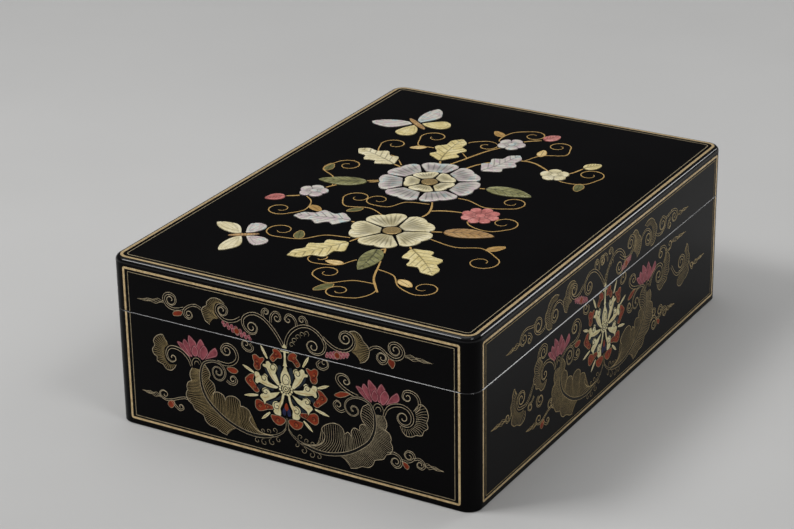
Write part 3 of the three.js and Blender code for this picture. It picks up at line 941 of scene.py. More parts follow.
class Painting:
    """The painted solids of one face, gathered by colour and by body."""

    def __init__(self, face, centre=(0, 0)):
        self.face = face
        self.long_side = face in ("left", "right")
        self.centre = centre
        self.move = (0, 0)
        self.flip = 1
        self.skins = {}
        self.strokes = 0

    def place(self, x=0, y=0):
        """Moves what is painted next, from the drawing's centre."""
        self.move = self.centre[0] + x, self.centre[1] + y

    def solid(self, colour, vertices, faces):
        vertices = np.array(vertices, float)
        vertices[:, 0] = vertices[:, 0] * self.flip + self.move[0]
        vertices[:, 1] += self.move[1]
        if self.flip < 0:
            faces = [f[::-1] for f in faces]
        low, high = vertices[:, 1].min(), vertices[:, 1].max()
        if self.face == "top" or low >= SEAM_HIGH:
            self.skin(colour, "lid").add(vertices, faces)
        elif high <= SEAM_LOW:
            self.skin(colour, "base").add(vertices, faces)
        else:
            for body, level, above in (("base", SEAM_LOW, False), ("lid", SEAM_HIGH, True)):
                self.skin(colour, body).add(*cut(vertices, faces, level, above))

    def skin(self, colour, body):
        if self.long_side:
            colour = WARM_GOLD.get(colour, colour)
        return self.skins.setdefault((colour, body), Skin())

    def band(self, colour, rows, closed=False):
        """A solid with four long edges, each a row of points and their height."""
        count = len(rows[0][0])
        vertices = [(*p, height) for points, height in rows for p in points]
        faces = []
        for i in range(count if closed else count - 1):
            j = (i + 1) % count
            for row in range(4):
                low, high = row * count, (row + 1) % 4 * count
                faces.append((low + j, high + j, high + i, low + i))
        if not closed:
            faces.append([row * count for row in range(4)])
            faces.append([row * count + count - 1 for row in (3, 2, 1, 0)])
        self.solid(colour, vertices, faces)

    def stroke(self, line, width, colour="old_gold", start=1.0, end=1.0, height=PAINT):
        """A raised line. Its width is a share start and end of the full one at its two ends."""
        self.strokes += 1
        height -= self.strokes % 7 * HEIGHT_STEP
        line = np.asarray(line, float)
        half = np.interp(arc_share(line), (0, 0.3, 0.7, 1), (start, 1, 1, end)) * width / 2
        foot = left_normals(line) * half[:, None]
        top = left_normals(line) * np.maximum(half - 0.05, half * 0.6)[:, None]
        self.band(colour, [(line + foot, -SUNK), (line + top, height),
                           (line - top, height), (line - foot, -SUNK)])

    def ring(self, outer, inner, colour, height=PAINT):
        """A raised band between two outlines with the same count of points."""
        rows = [(outer, -SUNK), (outer, height), (inner, height), (inner, -SUNK)]
        self.band(colour, rows if turned_left(outer) else rows[::-1], closed=True)

    def rim(self, loop, offset, width, colour, height):
        """A line along a closed curve, set out from it by an offset."""
        way = 1 if turned_left(loop) else -1
        outer, inner = (grown(loop, way * (offset + side * width / 2)) for side in (1, -1))
        self.ring(outer, inner, colour, height)

    def line(self, points, width, colour="old_gold", start=0.4, end=0.4):
        self.stroke(smooth_curve(wound(points)), width, colour, start, end)

    def stem(self, points, gap=1.5, tip=0.12, foot=1.0, band=False):
        """Two lines side by side that join into one in a curled tip, on a black band if asked."""
        line = smooth_curve(wound(points))
        half = np.interp(arc_share(line), (0, 0.15, 0.5, 0.85), (foot, 1, 0.9, tip)) * gap / 2
        side = left_normals(line)
        if band:
            self.stroke(line, gap, "ink", 0.8, 0.3, 0.042)
        for way in (1, -1):
            self.stroke(line + side * (way * half)[:, None], 0.36, "fine_gold", 0.8, 0.9)

    def region(self, points, colour, height=0.025, smooth=True):
        """A raised area inside a closed outline."""
        outline = closed_curve(points) if smooth else np.array(points, float)
        flat, triangles = fill([outline])
        count = len(flat)
        vertices = [(*p, height) for p in flat] + [(*p, -SUNK) for p in flat]
        faces = [list(t) for t in triangles]
        faces += [[i + count for i in t][::-1] for t in triangles]
        faces += [[b, a, a + count, b + count] for a, b in open_edges(triangles)]
        self.solid(colour, vertices, faces)

    def outlined(self, points, colour, line_colour="old_gold", width=0.32, height=0.02):
        self.region(points, colour, height)
        self.rim(closed_curve(points), 0, width, line_colour, height + 0.004)

    def hook(self, x, y, radius, turn, way=1, width=0.34, colour="old_gold"):
        """A small curl that winds in towards a middle."""
        start = math.radians(turn)
        foot = [(x + radius * math.cos(start - way * angle),
                 y + radius * math.sin(start - way * angle)) for angle in (0.5, 0)]
        self.line([*foot, (x, y, 0.85)], width, colour, 0.5, 0.8)

    def scallop(self, points):
        self.stroke(smooth_curve(points), 0.46, "fine_gold", 0.8, 0.7, 0.046)

    def barb(self, a, b, bow, colour):
        """A thin curved line of a plume, from a point of its rib to one of its edge."""
        b = a + (b - a) * 0.97
        middle = (a + b) / 2 + np.array([a[1] - b[1], b[0] - a[0]]) * bow
        self.stroke(smooth_curve([a, middle, b], turn=12), 0.32, colour, 1, 0.7, 0.036)

    def wash(self, rib, edge):
        """Brown under a plume, between a stretch of its rib and one of its edge."""
        self.strokes += 1
        height = 0.002 + self.strokes % 5 * HEIGHT_STEP
        self.region([*edge, *rib[::-1]], "brown", height, smooth=False)

    def finish(self):
        origin, across, up = (np.array(v, float) for v in FACES[self.face])
        out = np.cross(across, up)
        for (colour, body), skin in self.skins.items():
            flat = np.array(skin.vertices)
            placed = origin + flat[:, :1] * across + flat[:, 1:2] * up + flat[:, 2:] * out
            add_object(f"{self.face}_{colour}_{body}", placed, skin.faces, *COLOURS[colour], body,
                       smooth_angle=30)


# Gold lines round the sides: the inset of their ends, their lower and upper height, the corners'
# radius, the width and the colour. Those of the top have one inset all round.

SIDE_LINES = ((10.5, 4.6, 109.4, 1.0, 1.45, "gold"), (13.6, 6.8, 107.1, 0.3, 0.4, "old_gold"))
TOP_LINES = ((4.0, 6.0, 1.9, "gold"), (7.6, 2.8, 0.5, "old_gold"))


def frame_outline(half_width, low, high, radius, steps=6):
    outline = []
    for quarter, (side_x, side_y) in enumerate(((1, 1), (-1, 1), (-1, -1), (1, -1))):
        x, y = side_x * half_width, high if side_y > 0 else low
        for step in range(steps + 1):
            angle = (quarter + step / steps) * TAU / 4
            outline.append((x - side_x * radius + radius * math.cos(angle),
                            y - side_y * radius + radius * math.sin(angle)))
    return outline


def frame_line(painting, half_width, low, high, radius, width, colour):
    outer, inner = (
        frame_outline(half_width + grow, low - grow, high + grow, max(0.05, radius + grow))
        for grow in (width / 2, -width / 2)
    )
    painting.ring(outer, inner, colour)


# The drawing of the sides. Places are in mm from the middle of the central flower, for the right
# half; what is drawn for the left half is mirrored, and where it differs it has points of its own.
# A line whose last entry has three numbers winds in there: around x, y, for so many turns.

FLOWER_HEIGHT = 52.6
LOBES = (
    [(4.2, 2.2), (5.5, 5.8), (7.0, 9.4), (5.8, 11.7), (5.7, 14.1), (7.7, 15.7), (10, 15),
     (11.9, 16.5), (13.8, 15.8), (14.3, 14), (16.3, 13.7), (16, 11.9), (13.9, 11.2), (12.6, 9),
     (10.4, 5.4), (7.8, 2.9), (5.8, 1.2)],
    [(5.2, 0.4), (8, 1.0), (12.2, 2.2), (13.2, 4.1), (12.9, 6), (15.1, 7.3), (18.2, 5.1),
     (19.4, 7.1), (22.1, 7.1), (22.8, 4.9), (22, 3.1), (22.5, 0.1), (20.8, -1), (19.2, 0.1),
     (15.8, -1.1), (11.4, -1.6), (7, -1.3)],
    [(4.4, -2.8), (8, -3.9), (11.2, -4.9), (12.2, -3.3), (14.7, -2.2), (17.2, -3.3), (17.6, -5.3),
     (16.9, -6.6), (18.4, -7.5), (19.2, -9.3), (17.2, -11.6), (15.8, -14.4), (14.7, -11.8),
     (12.1, -10.1), (8.4, -7.9), (5.6, -4.9)],
    [(1.2, -3.4), (2.8, -3.6), (3.6, -7.2), (5.3, -10.2), (7.2, -9.6), (9.7, -10.9), (10.4, -13.6),
     (9.3, -15.8), (9.8, -17.3), (8.2, -19.2), (4.5, -19.4), (4.0, -16.9), (4.3, -14.2),
     (2.9, -11.4), (1.6, -7.5)],
)
VOLUTES = (
    [(7.6, 8.2), (6.4, 11), (6.8, 14), (9.2, 14.8), (8.6, 12.4, 0.8)],
    [(12.4, 2.4), (13.2, 4.6), (14.8, 6.2), (17.2, 5.4), (15.4, 4.0, 0.8)],
    [(11.2, -5.2), (12.2, -4.0), (14.4, -2.9), (16.8, -4.4), (14.9, -5.2, 0.8)],
    [(4.8, -9.4), (6.4, -10.4), (8.8, -11.6), (9.0, -14.0), (7.0, -13.4, 0.8)],
)
SHADES = (
    [(6.2, 2.6), (10.2, 7.2), (13.2, 12.8)], [(8, 0), (14, 0.2), (20.6, 1.2)],
    [(12, -7.6), (15.6, -9.4), (17.6, -9)], [(3, -6), (5.2, -13), (6.6, -18)],
    [(18.8, 4.6), (20.4, 4.2), (21.6, 2.6)],
)
LAPPETS = (
    [(2.3, 22.4), (3.7, 24.8), (6.4, 26), (8.6, 24.9), (8.2, 22.9), (10.3, 20.4), (10.7, 18.3),
     (8.6, 16.7), (7, 18.3), (5.4, 20), (2.7, 20.3)],
    [(15.2, 16.7), (16, 17.9), (18.5, 17.1), (21, 18.7), (23.4, 17.9), (23.4, 15.5), (22.6, 13.4),
     (23, 10.9), (21.8, 8.9), (19.7, 8.5), (18.1, 10.1), (17.9, 12.6), (16.4, 14.6)],
    [(22.8, 4.8), (25.9, 4.4), (28, 2.3), (29.6, 0.6), (28.8, -1.8), (26.3, -3.9), (24.3, -5.9),
     (21.8, -7.2), (19.7, -5.9), (20.6, -3.9), (22.6, -1.4), (23.9, 1.1)],
    [(10.3, -14.0), (13.6, -13.3), (16.9, -12.9), (20.2, -11.7), (22.6, -12.9), (23, -15.8),
     (22.6, -17.9), (20.6, -19.5), (18.1, -19.1), (16, -17.9), (12.8, -16.8), (10.1, -16.1)],
    [(1.9, -20.5), (5.4, -19.6), (8.6, -19.9), (11.5, -20.3), (11.1, -22.8), (9.5, -24.8),
     (7, -26.1), (4.5, -25.7), (2.1, -23.8), (1.2, -22)],
)
SWIRLS = ((6.4, 22.6), (20.6, 14.6), (25.8, 0.2), (19.4, -15.8), (6.4, -22.8), (20.4, 10.6),
          (8.4, 19.2), (22.8, -4.0), (14.0, -15.2))
SPIKES = (((12.8, 17.9), (17.4, 26.1)), ((22.9, 6.0), (31.2, 9.6)), ((20.6, -8.8), (30.8, -11.2)),
          ((12.2, -18.8), (18.6, -24.8)))
PATCHES = (
    [(3.4, 4), (3.9, 9), (2.6, 14), (4.6, 15.4), (5.4, 12), (6.0, 9.5), (4.6, 5)],
    [(7, 2.4), (10.6, 6.8), (12.7, 10.2), (15, 12), (14.5, 9), (13, 6.5), (10, 3.3)],
    [(9, -1.8), (13, -1.6), (18, -1.0), (20.5, -2), (19.5, -4.7), (17.5, -3.2), (14, -2.4),
     (10, -3.6)],
    [(4, -5.5), (7, -8), (11, -10.5), (14.5, -12), (14, -15), (11, -13), (9.5, -10.4), (6.5, -9.2),
     (4.4, -8)],
)
SHAFT = [(0.8, 25.4), (0.65, 21), (0.9, 18), (1.5, 15.6)]
CROSSBAR = [(-3.2, 25.5), (0, 25.4), (3.2, 25.5)]
CROWN = [(-1.5, 28.0), (1.5, 28.0), (1.0, 29.4), (0, 30.8), (-1.0, 29.4)]
OGEE = [(0.4, 17), (1.6, 13.1), (3.4, 9.7), (3.9, 5.8), (2.9, 2.8), (1.2, 1.4)]
OGEE_CURL = [(1.6, 2.6), (2.7, 5.2), (2.1, 8.4), (0, 10.2), (-1.8, 8.2), (-2.2, 5.2), (-1.2, 3.2),
             (0.2, 5.6, 0.7)]
RED_DROP = [(0, -9.5), (1.4, -12.2), (0.9, -14.2), (0, -15), (-0.9, -14.2), (-1.4, -12.2)]
NAVY_DROP = [(0.5, -15), (1.7, -13), (3.0, -15.4), (2.8, -17.6), (1.4, -18.4), (0.6, -17)]
FOOT_LINE = [(0.5, -19.5), (0.6, -23), (1.1, -27), (2.6, -29.8)]
# The rings of the middle from the outside in: radius, colour and height
EYE = ((2.7, "cream", 0.038), (2.1, "ink", 0.041), (1.5, "cream", 0.044), (0.6, "ink", 0.047))


def flower_half(painting):
    for patch in PATCHES:
        painting.region(patch, "slate", 0.004)
    for lappet in LAPPETS:
        painting.outlined(lappet, "red", "old_gold", 0.34, 0.010)
    for place, (x, y) in enumerate(SWIRLS):
        painting.hook(x, y, 1.9, 200 + 40 * place, 1, 0.6, "dark_red")
        painting.hook(x + 0.3, y - 0.2, 1.1, 20 + 40 * place, 1, 0.3, "ochre")
    for spike in SPIKES:
        line = along(np.array(spike, float), np.linspace(0, 1, 7))
        painting.stroke(line, 1.9, "cream", 0.5, 0.15, 0.02)
        painting.stroke(line[1:6], 0.4, "ochre", 0.6, 0.3, 0.03)
    for lobe in LOBES:
        painting.outlined(lobe, "cream", "ink", 0.4, 0.026)
    for shade in SHADES:
        painting.line(shade, 0.75, "straw", 0.3, 0.4)
    for volute in VOLUTES:
        painting.line(volute, 0.62, "ink", 0.5, 0.8)
    painting.region(NAVY_DROP, "navy", 0.016)
    for angle in (np.arange(6) + 0.5) / 12 * TAU - TAU / 4:
        x, y = 4.3 * math.cos(angle), 3.7 * math.sin(angle)
        bead = shifted(ellipse_outline(0.85, 0.85, 10), x, y)
        painting.region(bead, "cream", 0.036, smooth=False)
    painting.line(FOOT_LINE, 0.4)


def flower(painting):
    for flip in (1, -1):
        painting.flip = flip
        flower_half(painting)
    painting.flip = 1
    painting.outlined([*OGEE, *mirrored(OGEE)], "cream", "ink", 0.4, 0.030)
    painting.line(OGEE_CURL, 0.6, "ink")
    painting.region([*SHAFT, *mirrored(SHAFT)], "cream", 0.036, smooth=False)
    painting.stroke(CROSSBAR, 1.0, "cream", 0.8, 0.8, 0.044)
    painting.region(RED_DROP, "red", 0.036)
    painting.region(CROWN, "cream", 0.036)
    for radius, colour, height in EYE:
        painting.region(ellipse_outline(radius, radius, 14), colour, height, smooth=False)


# The scroll. RIB is the middle of the large plume, and OUTER_EDGE its lobes: a lobe's edge, the
# places on the rib that its lines start and end at, and how many lines it has. An inner lobe's last
# two numbers are how far its first and its last line bow.

RIB = [(0.9, -27.2), (3.5, -30.6), (8, -33.7), (13.5, -35.8), (21, -37.3), (29, -37.2), (37, -35.4),
       (44.5, -32.4), (51.2, -28.1), (58.7, -21.4), (62.5, -13.1), (63.1, -4.3), (61.2, 2.2)]
OUTER_EDGE = (
    ([(45.2, -42.9), (49, -42), (53.3, -39.6)], (38.6, -36.4), (46, -32), 8),
    ([(53.3, -39.6), (57.6, -39.2), (60.8, -36.8), (62.4, -33)], (46, -32), (53.4, -26.6), 9),
    ([(62.4, -33), (65, -32), (68.6, -30.6), (70.6, -27.2)], (53.4, -26.6), (58.4, -21.7), 9),
    ([(70.6, -27.2), (73.4, -25.6), (75, -22.4), (74.6, -19.4), (73.6, -18)],
     (58.4, -21.7), (61.2, -17), 8),
    ([(73.6, -18), (74.2, -15.6), (73, -12.4), (70.2, -10.6)], (61.2, -17), (63, -9), 8),
    ([(70.2, -10.6), (71.3, -7.8), (71, -4.6), (69.3, -1.4)], (63, -9), (62.4, -0.6), 9),
)

# The lotus is not mirrored: the one on the left is the same flower moved over
LOTUS_STEP = 130
LOTUS = (
    [(50.2, 14.2), (52.5, 14.5), (55.3, 13.3), (57.7, 10.8), (59.6, 7.6), (59.4, 5.4), (57, 6.8),
     (54, 8.9), (51.5, 11.6)],
    [(78.9, 16.2), (80.5, 13.1), (79.4, 10.4), (76.3, 8.9), (72.4, 7.2), (70.8, 6.4), (72.6, 9.8),
     (74, 12.2), (76.3, 14.6)],
    [(55.8, 17.2), (58.4, 15.3), (60.7, 12.4), (61.4, 8.8), (60.8, 5.8), (58.2, 7.9), (55.1, 12),
     (54.4, 14.9)],
    [(59.3, 20.6), (62.5, 18.5), (64.6, 16), (64.6, 12.8), (62.8, 9.6), (61, 7.4), (59.4, 12.1),
     (58.4, 17)],
    [(67.9, 19.8), (70.2, 17.4), (71.0, 14.6), (70, 10.6), (67, 6.8), (64.6, 8.6), (64.2, 12.4),
     (65.1, 15.8)],
    [(70.3, 16), (72.7, 13.9), (73.2, 11.2), (71.6, 8.2), (69.2, 5.8), (67.4, 6.6), (66.6, 10.1),
     (67.6, 13.3)],
    [(63.2, 14.6), (65.4, 12.4), (65.9, 9.9), (64.6, 7.2), (62.4, 7), (60.8, 8.9), (61.4, 12.4)],
)

SMALL_SHOOT = ([(25.4, 25.2), (23.2, 22.8), (24.4, 20.4), (27.6, 20), (30.6, 22.2), (30.6, 25.2),
                (28.2, 24.2, 0.75)], 1.2)
RIGHT = {
    "hatch": "old_gold",
    "fan_lines": 21,
    "crook": [(58, 5.6), (52.6, 6.8), (47.4, 5.6), (43.4, 2.6), (42.2, -1.6), (44.2, -5.2),
              (47.8, -6.4), (51, -4.4), (48.2, -2.2, 0.85)],
    "inner_side": [(10, -34.8), (15.4, -35), (20.6, -33.6), (24.6, -31), (26.8, -27.6),
                   (27.2, -24.6), (25.2, -22.2)],
    "inner": (
        ([(25.4, -22.4), (25.2, -20.3), (27.7, -17.6), (32.4, -15.2), (37, -15.1), (40, -17),
          (41.4, -20.6)],
         (10, -34.8), (39.5, -34.6), 14, -0.30, -0.03),
        ([(41.4, -20.6), (43.8, -18.6), (46.2, -20.8)],
         (39.5, -34.6), (45.5, -31.9), 4, -0.05, -0.05),
        ([(46.2, -20.8), (46.2, -17.4), (48.4, -14.6), (52.2, -15.4)],
         (45.5, -31.9), (54.2, -25.8), 7, -0.05, -0.08),
        ([(52.2, -15.4), (52.4, -12.2), (54.2, -10.6), (56.4, -11)],
         (54.2, -25.8), (60, -18), 6, -0.08, -0.1),
        ([(56.4, -11), (54.2, -8), (53.2, -4.4), (54, -0.4), (55.4, 2), (58.8, 4.2)],
         (60, -18), (61.2, 2), 11, -0.12, -0.1),
    ),
    "shoots": (
        ([(51.5, 7.3), (45.6, 8.8), (40.4, 11.4), (37.2, 14.8), (37.4, 18), (40.4, 19.6),
          (44, 18.8), (45.8, 15.8), (43.2, 15.6, 0.85)], 1.9),
        ([(42.0, -4.2), (39.3, -5.6), (36.1, -4.6), (34.4, -1.8), (36, 0.8), (37.2, -1.6, 0.8)],
         1.3),
        SMALL_SHOOT,
    ),
    "red_leaf": [(34.9, 4.6), (37.5, 6.8), (40.4, 8.0), (46, 8.0), (43, 5.5), (40.6, 4.3),
                 (37.5, 3.6)],
    "leaf_stem": [(69.3, -1.6), (70.6, 2.2), (73.2, 5.6), (77.6, 7.9), (82.6, 8.4), (86.8, 6.7),
                  (89, 3), (88.6, -1.2), (86, -3.9), (82.4, -4.2), (79.4, -2), (82.8, 0.5, 1.05)],
    "leaf": (
        [(93.4, 12.6), (96.4, 12.4), (99.0, 10), (100.0, 5.6), (98.8, 1.4)],
        [(98.8, 1.4), (99.6, -2), (96.9, -4.6)],
        [(96.9, -4.6), (95.4, -8), (91.4, -8.8)],
        [(91.4, -8.8), (88.4, -10.6), (84.6, -10.8), (81.8, -8), (80.4, -5)],
    ),
    "leaf_rib": [(90.6, 8.6), (91.6, 4.6), (91.4, 0.4), (89.8, -3.4), (87, -5.6), (83.6, -6.2),
                 (80.8, -5)],
    "upper": [(90.6, 6.6), (93.4, 9.8), (94.0, 14), (92, 17.8), (87.8, 19.4), (84, 18.4),
              (82.6, 15.2), (85.8, 15.2, 0.95)],
    "tendrils": (
        [(71.6, -26), (75.6, -24.7), (79.6, -26.1), (81.3, -29.4), (80, -32.8), (76.9, -33.8),
         (74.3, -31.8), (77.3, -30.4, 0.9)],
        [(80.8, -28.0), (84.6, -28.4), (88.2, -26.9), (90.1, -24), (88.8, -21.4), (85.8, -21.0),
         (83.6, -23), (86.4, -24.2, 0.8)],
        [(89.6, -25.6), (93, -24.4), (96, -25.7), (97.1, -28.4), (95.2, -30.6), (92.4, -29.9),
         (94.2, -28.1, 0.7)],
    ),
    "drop": [(81.9, -28.9), (84.3, -29.3), (86.4, -31.2), (85.3, -33.4), (83.4, -32.6),
             (82.4, -31)],
    "tail": (96.4, -27.4, 110.4, -28.4),
    "arch": [(0.7, 28.6), (1.4, 33.2), (3.6, 38), (7.4, 42.2), (12.4, 45.2), (17.8, 46),
             (23, 44.2), (27.4, 40.3), (29.2, 35.6), (27.6, 31.2), (23.6, 28.9), (18.8, 29.6),
             (16.3, 33), (20.6, 33.4, 1.15)],
    "second": [(27.6, 41.2), (32.4, 37.7), (37.4, 35.6), (42.6, 35.6), (47.2, 38.2), (49.6, 42.6),
               (48.4, 46.8), (44.4, 48.6), (40.8, 47), (39.6, 44), (43.6, 44.0, 1.15)],
    "fan": ([(46.4, 49.4), (50.6, 50.4), (54.2, 48.4), (56.0, 45.2)],
            [(56.0, 45.2), (58.9, 42.7), (60.4, 39.6)],
            [(60.4, 39.6), (59.5, 35.4), (57, 31.9), (53.4, 30.2)]),
    "fan_rib": [(49.4, 47.4), (51, 44.2), (50.8, 41), (49.6, 38.4), (48, 36.4), (51, 34.6),
                (53.4, 31.8)],
    "third": [(60.3, 40.8), (63.2, 42.9), (67, 43.4), (70.6, 41.6), (72.6, 38.1), (71.4, 34.7),
              (68.4, 33.4), (65.7, 35.6), (69, 37.3, 1.15)],
    "fourth": [(71.4, 40.9), (74.9, 38.8), (78.8, 38.4), (82.5, 40.7), (83.7, 44.3), (81.5, 47.8),
               (77.8, 48.9), (74.5, 47.4), (73.8, 44.4), (78.0, 44.4, 1.15)],
    "lid_drop": [(73.6, 37.5), (77.0, 36.9), (77.6, 34.6), (76.0, 31.9), (74.0, 33.4),
                 (72.8, 35.6)],
    "lid_tail": (84.7, 42, 103.2, 41.2),
    "blossom": (37.6, 31.8, 7.1, 1.5),
    "top_curls": ([(9.3, 44.4), (8.9, 47.6), (6.6, 50.4), (3.2, 50.8), (1.2, 48.2),
                   (3.4, 47.4, 0.85)],
                  [(16.9, 46.2), (16.6, 49.2), (14.4, 51.6), (11.8, 50.8), (13.3, 49.4, 0.75)]),
}
LEFT = {
    "hatch": "brass",
    "fan_lines": 26,
    "crook": [(58, 5.2), (52.7, 6.8), (47.7, 5.8), (44.6, 2.1), (45, -2.1), (47.9, -5.2),
              (51.9, -4.9), (53.6, -2), (49.8, 0, 1.2)],
    "inner_side": [(10, -34.8), (15.4, -35.1), (20.5, -34.2), (25, -31.6), (27.8, -28),
                   (26.4, -24.6)],
    "inner": (
        ([(26.4, -24.6), (28, -21.4), (31.4, -19.9), (34.2, -20.0)],
         (10, -34.8), (33, -36.4), 11, -0.28, -0.12),
        ([(34.2, -20.0), (34.6, -16.6), (38, -14.4), (42, -14.8), (44.6, -16.4), (45.3, -18.7)],
         (33, -36.4), (44.5, -32.4), 11, -0.1, -0.03),
        ([(45.3, -18.7), (46.6, -15.6), (50, -14.2), (53.6, -15), (54.7, -17.2)],
         (44.5, -32.4), (55.4, -24.8), 9, -0.05, -0.06),
        ([(54.7, -17.2), (52.8, -13.4), (53.6, -9.2), (57.2, -6.4)],
         (55.4, -24.8), (61, -16.4), 8, -0.08, -0.08),
        ([(57.2, -6.4), (56.0, -3.2), (57.2, -0.2), (59.6, 2.6)],
         (61, -16.4), (61.4, 1.2), 9, -0.1, -0.06),
    ),
    "shoots": (
        ([(50, 7.0), (42.4, 6.8), (37.2, 9.4), (34.9, 13.6), (36.3, 18.2), (40, 20.6), (44, 20.2),
          (46.6, 17.2), (42.8, 16.4, 1.2)], 1.9),
        ([(43.6, -4.4), (40.9, -5.9), (37.5, -5.4), (36.1, -2.9), (37.6, -0.6), (38.9, -2.8, 0.8)],
         1.3),
        SMALL_SHOOT,
    ),
    "red_leaf": [(43, 4.0), (40.8, 5.5), (37.4, 5.7), (34.9, 4.2), (36.7, 2.1), (40.3, 1.9)],
    "leaf_stem": [(69.8, -0.6), (70.9, 2.9), (73.1, 5.9), (76.6, 8.4), (80.9, 9.6), (84.8, 9.2),
                  (87.3, 7.2), (88.4, 3.8), (87.3, 0.5), (84.6, -0.9), (82, 0.4), (83.9, 2.2, 0.7)],
    "leaf": (
        [(87.6, 12.2), (89.5, 13.8), (90.6, 16.3), (93.7, 15.8), (96.8, 13.3), (98.1, 10.5),
         (97.2, 7.7)],
        [(97.2, 7.7), (99.2, 4.6), (98.4, 1.6), (95.8, 0.1)],
        [(95.8, 0.1), (95.8, -2.8), (91.6, -4.3)],
        [(91.6, -4.3), (89.3, -6.9), (85.9, -7.2), (83.1, -5.1), (81.5, -2.3)],
    ),
    "leaf_rib": [(86.8, 10.6), (89.6, 7.6), (90.2, 3.8), (89.2, -0.8), (86.4, -3.1), (83, -2.4)],
    "upper": [(91.6, 13.6), (93, 17.6), (90.6, 21.6), (86, 22.8), (82, 20.6), (81.8, 16.8),
              (86, 18, 1.1)],
    "tendrils": (
        [(71.6, -24.6), (76.3, -24.3), (80.5, -25.6), (85.6, -27.8), (90.6, -28.9), (94.4, -27.4),
         (95.3, -24.8), (93.1, -22.9), (90.4, -23.4), (91.5, -25.4, 0.7)],
        [(86.4, -28.6), (83.9, -31.6), (80.7, -33.7), (78.0, -32.6), (79.8, -31.4, 0.75)],
    ),
    "drop": [(84.7, -28.6), (87.6, -28.6), (89.7, -31.8), (87.2, -33.9), (84.7, -31.6)],
    "tail": (95.0, -27.3, 109, -26.4),
    "arch": [(0.7, 28.6), (2.4, 31.6), (5.2, 35.8), (9.8, 41.0), (14.9, 44.8), (20.4, 46.2),
             (25.4, 45), (29.2, 41.8), (29.8, 37.8), (27.9, 34.2), (24.4, 32.2), (20.8, 33.2),
             (19.4, 36.4), (23.4, 36.5, 1.15)],
    "second": [(31.4, 41.1), (35.6, 38.3), (41.2, 36.9), (46.2, 38.6), (48.8, 42.3), (47.7, 45.6),
               (44.4, 46.9), (41.3, 45), (44.9, 43.2, 1.15)],
    "fan": ([(42.9, 48.2), (45.6, 50), (49.4, 50.6), (53, 49.4), (55.8, 46.6), (56.2, 44)],
            [(56.2, 44), (58.9, 42.2), (59.9, 39.4), (58.7, 36)],
            [(58.7, 36), (57.4, 33.4), (54.4, 31.6)]),
    "fan_rib": [(46.6, 48.4), (49.8, 46.4), (50.6, 43), (50, 39.4), (47.8, 36.9), (51, 36.4),
                (53.8, 33.6)],
    "third": [(59.7, 40.3), (62.8, 41.9), (66.6, 41.9), (70.8, 39.8), (73.6, 36.6), (72.6, 33.2),
              (69.8, 32.1), (67.6, 33.8), (70, 35.1, 1.0)],
    "fourth": [(73.5, 38.4), (78.1, 36.7), (82.7, 36.3), (86.6, 38.2), (88.4, 41.9), (86.8, 45.1),
               (83.4, 46.2), (80, 44.8), (79.4, 41.6), (83.3, 42.1, 1.1)],
    "lid_drop": [(74.7, 35.5), (77.3, 35.9), (81.3, 34.2), (81.6, 31.9), (79.2, 31.9),
                 (75.8, 33.1)],
    "lid_tail": (88.9, 39.6, 108.9, 37.4),
    "blossom": (34.6, 31.7, 9.3, 2.7),
    "top_curls": ([(9.4, 43.0), (9.0, 47.2), (6.5, 50.4), (3.5, 50.2), (2.2, 47.4),
                   (4.9, 46.9, 0.95)],
                  [(14.6, 45.6), (15.3, 48.8), (13.5, 51), (11.2, 50.4), (12.9, 49.2, 0.75)]),
}
# x, y and turn of small curls, with their radius below the seam
UNDER_CURLS = ((6.6, -36.6, 60, 1.9), (11.4, -39.4, 50, 2.5), (17.2, -40.8, 60, 2.5),
               (22.4, -40.8, 60, 1.9))
UPPER_CURLS = ((9.4, -30.6, 200, 1.9), (14.0, -32.2, 195, 1.7), (18.4, -33.0, 185, 1.5))
ARCH_CURLS = ((5.4, 31.2, 40), (7.2, 34.4, 40), (9.8, 37.4, 20), (12.8, 39.8, 0), (16.0, 41.2, -20))

# What only the long sides have
LONG_LEAF = (
    [(122.2, 5.4), (124, 9.4), (126.4, 6.4), (126.9, 3)],
    [(126.9, 3), (128.8, -0.6), (128.2, -5), (127, -7.6)],
    [(127, -7.6), (127.9, -12.2), (124.4, -15.4), (121, -16)],
    [(121, -16), (116.8, -18.2), (112.4, -17.6), (109.8, -15), (109.8, -11.4)],
)
LONG_LEAF_RIB = [(120.4, 5), (122.6, 1.6), (122.6, -3), (120.4, -7.2), (116.6, -9.4), (112.4, -9.4)]
LONG_LEAF_STEM = [(99, 2), (101.6, -1.4), (105, -5.2), (109.2, -7.6), (113.6, -7.4), (118.4, -6.2),
                  (120.6, -2.6), (119.8, 1.4), (116.6, 3.6), (112.6, 3), (115.2, -1, 1.2)]
LONG_BASE_STEMS = (
    [(92.2, -9.2), (94.6, -11.4), (93.8, -15.2), (90.2, -16.6), (87, -14.6), (90.2, -12.8, 0.9)],
    [(73.4, -20.4), (75.6, -18.8), (78.6, -20), (78.8, -22.8), (76.4, -21.8, 0.7)],
    [(98.4, -6.4), (101.4, -9.2), (104.8, -9.4), (106, -12), (103.6, -14), (103, -11.6, 0.7)],
)
